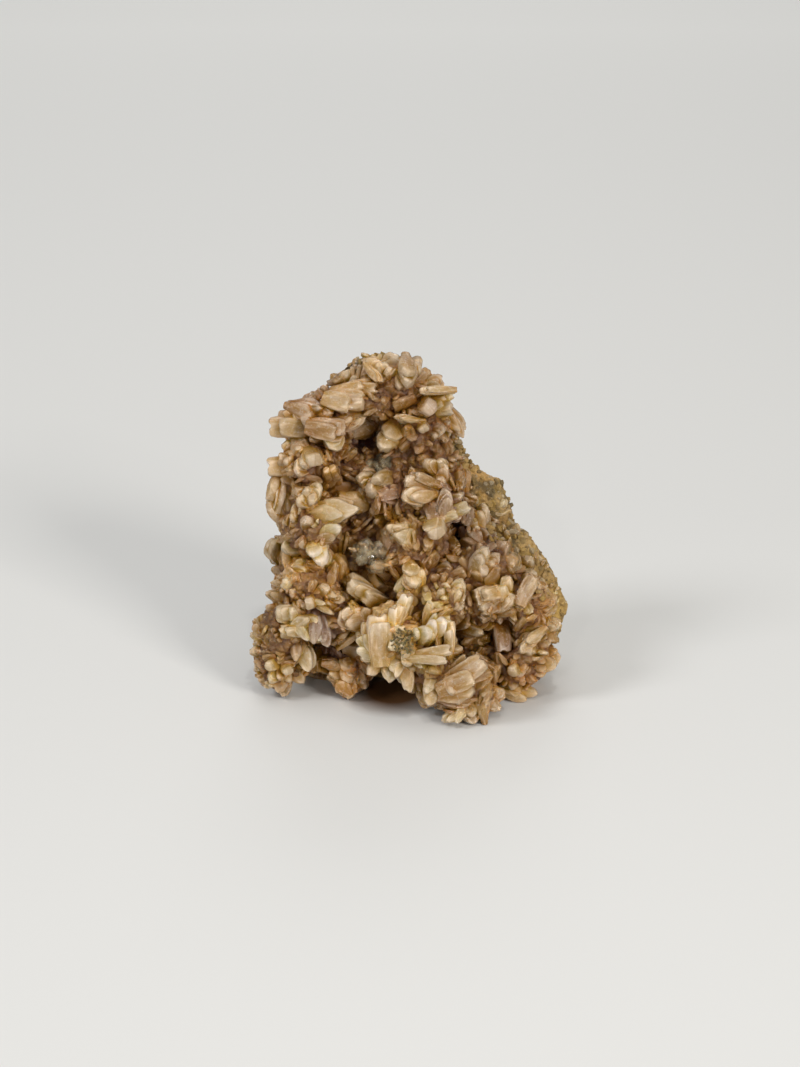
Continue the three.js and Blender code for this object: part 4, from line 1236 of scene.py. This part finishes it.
head = held["pale_head"]
headTree = BVHTree.FromPolygons(head["co"].tolist(), head["tris"].tolist())
rng = random.Random(5)
towards = faceToPart.to_3x3() @ Vector((0, 0, -1))
before = 40
for i in range(grit["count"]):
    angle, reach = rng.uniform(0, 6.28), grit["radius"] * rng.random() ** 0.7
    aside, up = reach * math.cos(angle), 1.1 * reach * math.sin(angle)
    start = faceToPart @ Vector((grit["across"] + aside, grit["along"] + up, before))
    hit, normal, index, distance = headTree.ray_cast(start, towards.normalized())
    if hit:
        size = rng.uniform(*grit["size"]) * 0.001
        colour = Vector(stoneTints[rng.choice(grit["tints"])]) * rng.uniform(0.6, 1.2)
        matrix = Matrix.Translation(hit) @ Matrix.Scale(size, 4)
        grainCopies.append((rng.choice(grainShapes), matrix, colour, 0.0))
grainArrays = gathered([c for c in grainCopies if inCad(c[1].translation, 0.0009)])


print("skins")
for mesh in (drusePiece.data, stonePiece.data):
    mesh.calc_loop_triangles()
    tris = np.empty(len(mesh.loop_triangles) * 3, np.int32)
    mesh.loop_triangles.foreach_get("vertices", tris)
    fillFrom(coordinates(mesh), tris.reshape(-1, 3))
for arrays in held.values():
    fillFrom(arrays["co"], arrays["tris"])
for name, arrays in held.items():
    piece = built("stilbite_" + name, arrays, stilbite)
grainPiece = built("basalt_grains", grainArrays, basalt, creaseAngle=25)
colours = np.array([(*stoneColour(v.co), 1) for v in stonePiece.data.vertices], np.float32)
paint(stonePiece.data, {"tint": colours})

# the druse itself: brown, greener on its bare flank
co = coordinates(drusePiece.data)
u, v, w = onFace(co)
share = flankShare(u, v)[:, None]
colour = np.array(tints["tan"]) * (1 - share) + np.array(tints["olive"]) * 0.8 * share
colour = np.array([(*patched(c, x, y), 1) for c, x, y in zip(colour, u, v)])
paint(drusePiece.data, {"tint": colour})
drusePiece.data.materials.append(stilbiteGround)
drusePiece.data.shade_smooth()
drusePiece.data.set_sharp_from_angle(angle=math.radians(32))
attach(drusePiece, "root")
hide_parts("stilbite")
print("druse", len(drusePiece.data.polygons) * 2, "stone", len(stonePiece.data.polygons) * 2, "triangles")


print("apophyllite")
clearCrystals = {
    # across, along, proud, lean, out, width, height
    "apophyllite_lower": [
        (-8.8, 38.4, 10, 80, 62, 3.8, 4.6), (-5.0, 37.2, 9.8, 10, 55, 3.2, 4.2),
        (-10, 34.6, 9.4, -110, 52, 3.2, 4.2), (-5.9, 33.2, 10, -50, 62, 3.2, 4.2),
        (-7.6, 35.8, 10.4, 20, 75, 2.6, 4.2),
    ],
    "apophyllite_upper": [
        (-6.4, 55.6, 6, 100, 60, 4.2, 4.8), (-4.0, 56.4, 6.5, 40, 50, 3.2, 4.2),
        (-8.8, 55.0, 5.5, 170, 50, 3.0, 4.0),
    ],
}
# how much of a crystal its blunt pyramid takes, how wide its cut-off top is, and its worn edges in mm
clearShape = {"pyramid": 0.28, "top": 0.45, "bevel": 0.12, "roll": 45}


def clearCrystal(width, height):
    bm = bmesh.new()
    bmesh.ops.create_cube(bm, size=1)
    bmesh.ops.transform(bm, matrix=Matrix.Diagonal((width, height, width, 1)), verts=bm.verts)
    bmesh.ops.translate(bm, vec=(0, -height / 2, 0), verts=bm.verts)
    ends = [f for f in bm.faces if f.normal.y > 0.9]
    made = bmesh.ops.extrude_face_region(bm, geom=ends)
    bmesh.ops.delete(bm, geom=ends, context="FACES")
    top = [v for v in made["geom"] if isinstance(v, bmesh.types.BMVert)]
    for v in bm.verts:
        if v in top:
            v.co.x *= clearShape["top"]
            v.co.z *= clearShape["top"]
        elif v.co.y > -1e-6:
            v.co.y = -height * clearShape["pyramid"]
    bmesh.ops.recalc_face_normals(bm, faces=bm.faces)
    bmesh.ops.bevel(
        bm, geom=bm.edges[:], offset=clearShape["bevel"], offset_type="OFFSET", segments=2, profile=0.5,
        affect="EDGES", clamp_overlap=True, material=-1,
    )
    bmesh.ops.triangulate(bm, faces=bm.faces)
    return asArrays(bm)


for name, crystals in clearCrystals.items():
    copies = []
    for across, along, proud, lean, out, width, height in crystals:
        place = faceToPart @ crystalFrame(across, along, proud, lean, out, clearShape["roll"])
        copies.append((clearCrystal(width, height), place, (1, 1, 1), 0.0))
    piece = built(name + "_crystals", gathered(copies), clear, creaseAngle=20)
    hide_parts(name)


print("studio")
floorLook = {
    "size": 4,
    # painted light: the floor is paler farther back
    "nearColour": (0.665, 0.66, 0.645, 1), "farColour": (0.90, 0.895, 0.875, 1), "gradient": (0.1, 1.0),
    # painted shadow: darker and browner right under the stone
    "paintedShadowColour": (0.12, 0.055, 0.02, 1), "underShift": (0.35, 0.45, 0), "underScale": (95, 95, 95),
    "underEdge": (0.5, 1.2),
}
bm = bmesh.new()
bmesh.ops.create_grid(bm, x_segments=1, y_segments=1, size=floorLook["size"])
floor = bpy.data.objects.new("floor", toMesh(bm, "floor"))
scene.collection.objects.link(floor)
n = Nodes("floor_white")
place = n.add("TexCoord").outputs["Object"]
shift, scale = floorLook["underShift"], floorLook["underScale"]
under = n.add("Mapping", {"Vector": place, "Location": shift, "Scale": scale})
nearness = n.add("VectorMath", {0: under.outputs[0]}, operation="LENGTH").outputs["Value"]
depth = n.add("SeparateXYZ", {0: place}).outputs["Y"]
paper = n.blend(n.spread(depth, *floorLook["gradient"]), floorLook["nearColour"], floorLook["farColour"])
paper = n.blend(n.spread(nearness, *floorLook["underEdge"], 1, 0), paper, floorLook["paintedShadowColour"])
floor.data.materials.append(n.finish({"Base Color": paper, "Roughness": 0.55, "Specular IOR Level": 0.25}))

# the camera looks straight at the face: its place on the face's frame and its lens, in mm
view = {"place": (-1.68, 40.64, 428), "lens": 67.48, "clip": (0.01, 20)}
camera = bpy.data.objects.new("camera", bpy.data.cameras.new("camera"))
scene.collection.objects.link(camera)
camera.data.lens = view["lens"]
camera.data.clip_start, camera.data.clip_end = view["clip"]
turn = Matrix.Rotation(math.radians(90 - face["lean"]), 4, "X")
camera.matrix_world = Matrix.Translation(faceToPart @ Vector(view["place"])) @ turn
scene.camera = camera

lamps = {
    # place in metres, what it looks at, size, watts, colour
    "key": ((1.05, -1.15, 0.8), (0, 0, 0.03), 0.45, 15, (1.0, 0.97, 0.92)),
    "fill": ((-1.2, -0.5, 1.15), (0, 0, 0.03), 0.45, 11, (0.97, 0.98, 1.0)),
    "back": ((0, 2.0, 1.4), (0, 1.9, 0), 1.2, 10, (1.0, 0.99, 0.97)),
    "top": ((0, 0.12, 1.2), (0, 0, 0), 0.7, 2.4, (1.0, 0.99, 0.97)),
    "glint": ((0.05, -0.3, 0.65), (0, 0, 0.03), 0.03, 0.6, (1.0, 0.99, 0.97)),
    "lowGlint": ((-0.14, -0.6, 0.35), (0, 0, 0.03), 0.025, 0.35, (1.0, 0.99, 0.97)),
    "sideGlint": ((0.32, -0.5, 0.3), (0, 0, 0.03), 0.022, 0.25, (1.0, 0.99, 0.97)),
}
for name, (place, target, size, power, colour) in lamps.items():
    light = bpy.data.lights.new(name, "AREA")
    light.size = size
    light.energy = power
    light.color = colour
    lamp = bpy.data.objects.new(name, light)
    scene.collection.objects.link(lamp)
    lamp.location = place
    lamp.rotation_euler = (Vector(target) - Vector(place)).to_track_quat("-Z", "Y").to_euler()

sky = {"Color": (0.80, 0.81, 0.80, 1), "Strength": 0.37}
world = bpy.data.worlds.new("studio")
world.use_nodes = True
for key, value in sky.items():
    world.node_tree.nodes["Background"].inputs[key].default_value = value
scene.world = world
scene.view_settings.view_transform = "Standard"
